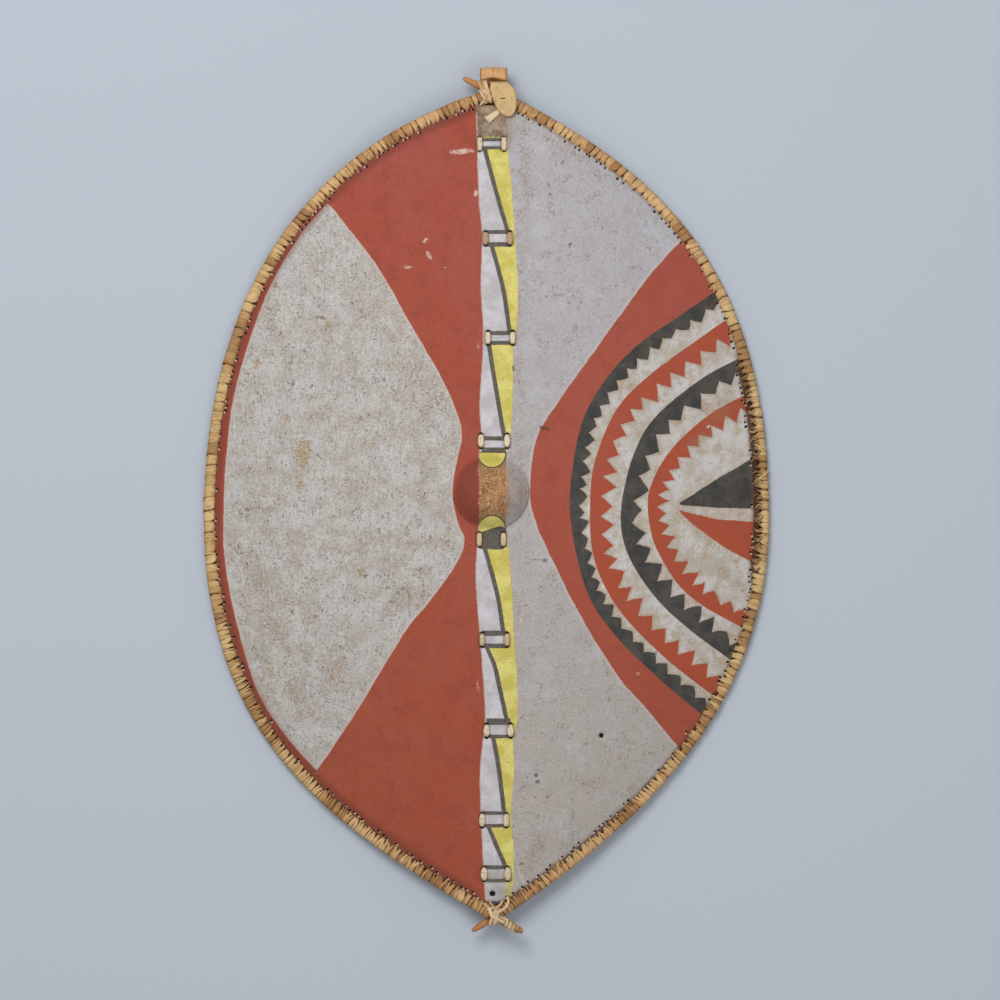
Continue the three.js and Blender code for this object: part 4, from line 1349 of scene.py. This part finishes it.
def hide_paint():
    g = Graph("painted_hide")
    x, y, boss, reach, side, rise = g.attributes("across along boss rim_reach stitch_side stitch_rise")
    left_field, right_red = g.attributes("left_field right_red")
    spine_left, spine_right = g.attributes("spine_left spine_right")
    wander = (g.noise(0.07, 2) - 0.5) * 4 + (g.noise(0.4, 3, 0.7) - 0.5) * 3.6
    masks, paint = paints(g, y)
    cloud, grain, grit = masks["cloud"], masks["grain"], masks["grit"]
    on_right = spine_right.above()

    # The left half is red with the pale field, the right half grey, then red. The toothed bands lie on that.
    field = left_field + wander * 0.45
    red_edge = right_red + wander * 0.5
    color = g.stack(
        paint["red"],
        # Painted shade: the boss's left flank is a deeper red.
        ((boss + wander).below(40, 3) * 0.75, rgb(136, 66, 50)),
        (field.above(), g.mix(0.5, paint["pale"], rgb(208, 186, 174))),
        (field.above(2.4, 1.2), paint["pale"]),
        (on_right, paint["lilac"]),
        (red_edge.above(-2.4, 1.4) * 0.5, rgb(206, 192, 186)),
        (red_edge.above(0, 0.6), paint["outer_red"]),
    )
    color = toothed_bands(g, color, paint, wander)

    # The boss: worn brown between two half rounds, with painted shade in the ripples of the hide beside it
    # and in the crease round its foot.
    warmth = (boss + wander * 2).below(38, 5) * on_right * g.ramp(cloud, 0.3, 0.6)
    worn = (boss + wander * 3).below(31, 6) * (x + wander * 3).below(15, 6) * y.above(-22, 12)
    ripple_shade = g.math("SINE", boss * 1.5 + g.noise(0.05, 3) * 14).above(0.72, 0.2)
    ripple_shade = ripple_shade * boss.above(26, 6) * boss.below(62, 12) * x.above(14, 6) * y.above(-12, 14)
    ripple_shade = ripple_shade * red_edge.below(-2, 2) * g.noise(0.09, 3).above(0.5, 0.07)
    crease_shade = abs(boss - 41.5 + wander * 0.3).below(0.55) * y.below(20, 12) * cloud.above(0.42, 0.06)

    # The spine, with a frayed left edge, and bare hide above it.
    bare_side = (y + wander * 6).above(404, 8) * (x + wander * 2).below(22, 7)
    middle = y.below(46, 4) * y.above(-27, 4)
    stray = wander * (middle * 1.1 + 0.3)
    spine = (spine_left + stray).above(0, 0.4) * (spine_right + stray).below(0, 0.4)
    fringe = abs(spine_left + wander * 0.3).below(0.9) * grain.below(0.52, 0.05) * (1 - middle)

    # Old marks.
    smear = g.ramp(g.attribute("smear") + wander * 2, -5, 6) * g.ramp(grain, 0.36, 0.56)
    stain = g.ramp(g.attribute("stain") + wander * 2.2, -1.6, 3.4) * g.ramp(grit, 0.34, 0.56)
    stain_color = g.mix(g.ramp(grain, 0.4, 0.58), rgb(204, 178, 122), rgb(146, 116, 68))
    scuff = (g.attribute("scuff") + wander * 1.7).above(0.2) * grain.below(0.54, 0.05)
    scar = (g.attribute("scar") + wander * 1.9 - 0.3).above(0, 0.6) * grain.below(0.56, 0.05)
    from_x, from_y = x - SCRATCH_FROM[0], y - SCRATCH_FROM[1]
    run = from_x * SCRATCH_ALONG[0] + from_y * SCRATCH_ALONG[1]
    off = abs(from_x * -SCRATCH_ALONG[1] + from_y * SCRATCH_ALONG[0])
    scratch = off.below(0.6, 0.3) * run.above(0, 1) * run.below(SCRATCH_LENGTH, 1)

    # Beside the wrap and the stitches: dirt with painted shade, painted contact shadows, holes painted
    # near-black for the shade inside them, and painted highlights beside the wrap's holes.
    inboard = g.attribute("rim_depth") - reach + wander * 0.6
    wrap_shade_and_grime = g.ramp(reach, 7.6, 10.5)
    holes, ends = rim_holes(g, grit)
    # beside: the ring round each stitch that takes a painted contact shadow; the stitch holes and the plain
    # holes join the holes painted near-black as the shade inside them.
    beside = g.math("MAXIMUM", abs(side) - 3.8, rise - STITCH_HOLE - 1.4) + wander * 0.4
    holes = g.math("MAXIMUM", holes, g.away(side, rise - STITCH_HOLE - 0.5).below(2.5))
    for x0, y0, radius in PLAIN_HOLES:
        holes = g.math("MAXIMUM", holes, g.away(x - x0, y - y0).below(radius, 0.4))

    color = g.stack(
        color,
        (warmth * 0.5, rgb(170, 142, 118)),
        (worn * on_right * 0.8, paint["boss"]),
        (ripple_shade * 0.42, rgb(122, 104, 96)),
        (crease_shade * 0.7, rgb(84, 62, 50)),
        (bare_side * on_right * 0.6, paint["bare"]),
        (spine, painted_spine(g, y, paint, wander)),
        (fringe * 0.7, rgb(206, 184, 172)),
        (smear * 0.36, rgb(152, 122, 88)),
        (stain * 0.75, stain_color),
        (scuff * 0.85, rgb(222, 200, 190)),
        (scar * 0.78, rgb(70, 58, 48)),
        (scratch * 0.7, rgb(214, 204, 198)),
        # Painted shadow of the rim: the red beside the left wrap is darker.
        (x.below(-20, 10) * g.ramp(inboard, 13, 3) * 0.62, rgb(118, 58, 44)),
        # Along the wrap: dirt and painted shade, strongest where the arms reach far.
        (g.ramp(inboard, 5, 0) * (wrap_shade_and_grime * 0.3 + 0.3), rgb(122, 86, 60)),
        (g.ramp(inboard, 1.6, -0.6) * (wrap_shade_and_grime * 0.35 + 0.5), rgb(66, 42, 28)),
        # Painted contact shadow round the stitches.
        (g.ramp(beside, 1.8, -0.4) * 0.42, rgb(92, 66, 46)),
        # Painted highlights on the strip ends beside the wrap's holes.
        (ends * 0.8, rgb(220, 200, 168)),
        # The holes, painted near-black as the shade inside them.
        (holes, rgb(24, 16, 11)),
    )
    height = grain * 0.5 + cloud * 0.5 + grit * 0.25
    return g.finish(color, g.ramp(cloud, 0.2, 0.8) * 0.14 + 0.66, height, 0.0011, 0.25)


def raw_hide():
    g = Graph("raw_hide_back")
    grain = g.noise(0.35, 4, 0.65)
    hairs = g.noise(1, 3, 0.6, g.stretched(0.7, 0.07, 0.3), 0.6)
    color = g.coated(
        {"cloud": g.noise(0.02, 4, 0.6), "grain": grain, "hairs": hairs}, (146, 110, 78),
        ("cloud", 0.3, 0.7, 1, 180, 146, 108), ("grain", 0.45, 0.75, 0.5, 96, 66, 44),
        ("hairs", 0.55, 0.7, 0.4, 200, 170, 130),
    )
    return g.finish(color, g.ramp(grain, 0.2, 0.8) * 0.2 + 0.6, grain + hairs, 0.0008)


def rawhide(name, dark, mid, light, rough, fibres):
    """Dried hide: golden, darker where it is worn or dirty, with painted shade where it is turned away from
    the light, in the seams at a strip's edges and over the wrap's arms and curls. Strips show fibres along
    them.
    """
    g = Graph(name)
    dark = rgb(*dark)
    tone, arm, side, across, run, tipward = g.attributes("tone arm side strip run tipward")
    cloud = g.noise(0.07, 4, 0.65)
    grain = g.noise(0.7, 4, 0.7)
    if fibres:
        place = g.node("ShaderNodeCombineXYZ", {0: across * 7, 1: run * 0.16, 2: tone * 40})
        fibre = g.noise(1, 3, 0.65, place)
    else:
        fibre = g.noise(1, 4, 0.65, g.stretched(0.35, 0.1, 0.35))
    tipward = tipward * (g.ramp(cloud, 0.36, 0.52) * 0.5 + 0.5)
    # edge: a strip's two edges, where painted shade lies in the seams between turns.
    edge = abs(across).above(0.42, 0.06)
    color = g.stack(
        g.mix(tipward * 0.6, rgb(*mid), rgb(188, 126, 78)),
        (g.ramp(tone * 0.5 + cloud * 0.6, 0.3, 0.8), g.mix(tipward * 0.4, rgb(*light), rgb(224, 172, 122))),
        (g.ramp(fibre, 0.5, 0.66) * 0.6, dark),
        (g.ramp(grain, 0.54, 0.7) * 0.45, dark),
        (tone.below(0.12, 0.04) * (0.4 if fibres else 0), dark),
        (g.ramp(cloud, 0.57, 0.7) * 0.35, dark),
        # Painted shade: the seams at a strip's edges, the sides turned from the light, and the arms and curls
        # beside the hide.
        (edge * (g.chance(tone * 91) * 0.6 + 0.1), tuple(v * 0.32 for v in dark)),
        (g.ramp(side, 0.02, 0.7) * 0.6, dark),
        (g.ramp(arm, 0.1, 0.9) * 0.75, tuple(v * 0.6 for v in dark)),
    )
    height = grain * 0.7 + cloud * 0.5 + fibre
    return g.finish(color, g.ramp(grain, 0.2, 0.8) * 0.2 + rough, height, 0.0006, 0.4)


def wood(name, dark, mid, light):
    g = Graph(name)
    knots = {"Vector": g.stretched(1.6, 0.7, 1.6), "Scale": 0.014}
    masks = {
        "fibre": g.noise(1, 4, 0.65, g.stretched(0.9, 0.04, 0.9), 0.4),
        "cloud": g.noise(0.03, 3),
        "knots": g.node("ShaderNodeTexVoronoi", knots),
    }
    coats = [("fibre", 0.3, 0.7, 1, *light), ("cloud", 0.45, 0.75, 0.6, *dark)]
    coats.append(("knots", 0.22, 0.1, 0.7, *dark))
    color = g.coated(masks, mid, *coats)
    fibre = masks["fibre"]
    return g.finish(color, g.ramp(fibre, 0.2, 0.8) * 0.2 + 0.48, fibre, 0.0006, 0.4)


# Each rawhide: its dark, middle and light colour, its roughness, and whether it is in strips with fibres.
RAWHIDES = {
    "wrap": ((132, 88, 48), (196, 154, 98), (224, 190, 132), 0.5, True),
    "pale": ((150, 110, 72), (208, 180, 140), (238, 220, 188), 0.5, True),
    "tip": ((138, 94, 54), (200, 160, 108), (238, 218, 178), 0.5, True),
    "tongue": ((166, 122, 72), (212, 180, 124), (230, 206, 158), 0.42, False),
    "strap": ((166, 104, 62), (216, 164, 112), (240, 206, 162), 0.45, False),
    "tie": ((176, 142, 100), (226, 206, 170), (242, 228, 200), 0.5, False),
}


# ---- Building ----

hides = {name: rawhide(f"{name}_rawhide", *values) for name, values in RAWHIDES.items()}
stick_wood = wood("peeled_stick", (128, 78, 42), (178, 114, 64), (204, 146, 92))
stave_wood = wood("stave_wood", (84, 54, 32), (128, 86, 52), (156, 112, 72))

add_hide(hide_paint(), raw_hide())
for word, crossing, seed in (("left", STICK_CROSSING, 51), ("right", -STICK_CROSSING, 52)):
    add_stick(word, crossing, stick_wood, seed)
    add_binding(word, crossing, hides["wrap"], seed + 10)
add_stave(stave_wood)
add_lacing(hides["pale"])
add_lashing("top", (-10.8, 459.3), 10.7, (-4.0, -2.5, -3.4), TOP_STRANDS, hides["tip"], 71)
add_lashing("bottom", (0.0, TIP_BOTTOM), 8.0, (3.0, 1.0, 2.5), BOTTOM_STRANDS, hides["tip"], 72)
add_tongue(hides["tongue"])
add_strap(hides["strap"])
add_tie(hides["tie"])


# ---- Floor, light and camera ----

def placed(name, data, location):
    thing = bpy.data.objects.new(name, data)
    thing.location = location
    bpy.context.scene.collection.objects.link(thing)
    return thing


def add_floor():
    reach = 60
    corners = [(x * reach, y * reach, 0) for x, y in ((-1, -1), (1, -1), (1, 1), (-1, 1))]
    mesh = bpy.data.meshes.new("floor")
    mesh.from_pydata(corners, [], [(0, 1, 2, 3)])
    mesh.materials.append(Graph("pale_floor").finish(rgb(188, 195, 204), 0.9, specular=0.2))
    placed("floor", mesh, (0, 0, 0))


def add_light(name, place, size, power):
    data = bpy.data.lights.new(name, "AREA")
    data.shape = "SQUARE"
    data.size = size
    data.energy = power
    light = placed(name, data, place)
    light.rotation_euler = (-light.location.normalized()).to_track_quat("-Z", "Y").to_euler()


def add_camera():
    frame_width = 1.125
    distance = 7.0
    focus_height = 0.03
    middle_x = 5.6
    data = bpy.data.cameras.new("overhead")
    data.sensor_width = 36.0
    data.lens = distance * data.sensor_width / frame_width
    data.clip_end = 200.0
    place = ((middle_x + SHIFT[0]) * MM, SHIFT[1] * MM, distance + focus_height)
    bpy.context.scene.camera = placed("overhead", data, place)


def add_world():
    world = bpy.data.worlds.new("studio")
    world.use_nodes = True
    background = world.node_tree.nodes["Background"]
    background.inputs["Color"].default_value = (0.93, 0.96, 1.0, 1.0)
    background.inputs["Strength"].default_value = 0.4
    bpy.context.scene.world = world
    bpy.context.scene.view_settings.view_transform = "Standard"


add_floor()
add_light("key", (-0.9, 1.8, 3.3), 1.8, 80)
add_light("fill", (1.2, -1.3, 3.4), 2.5, 24)
add_world()
add_camera()
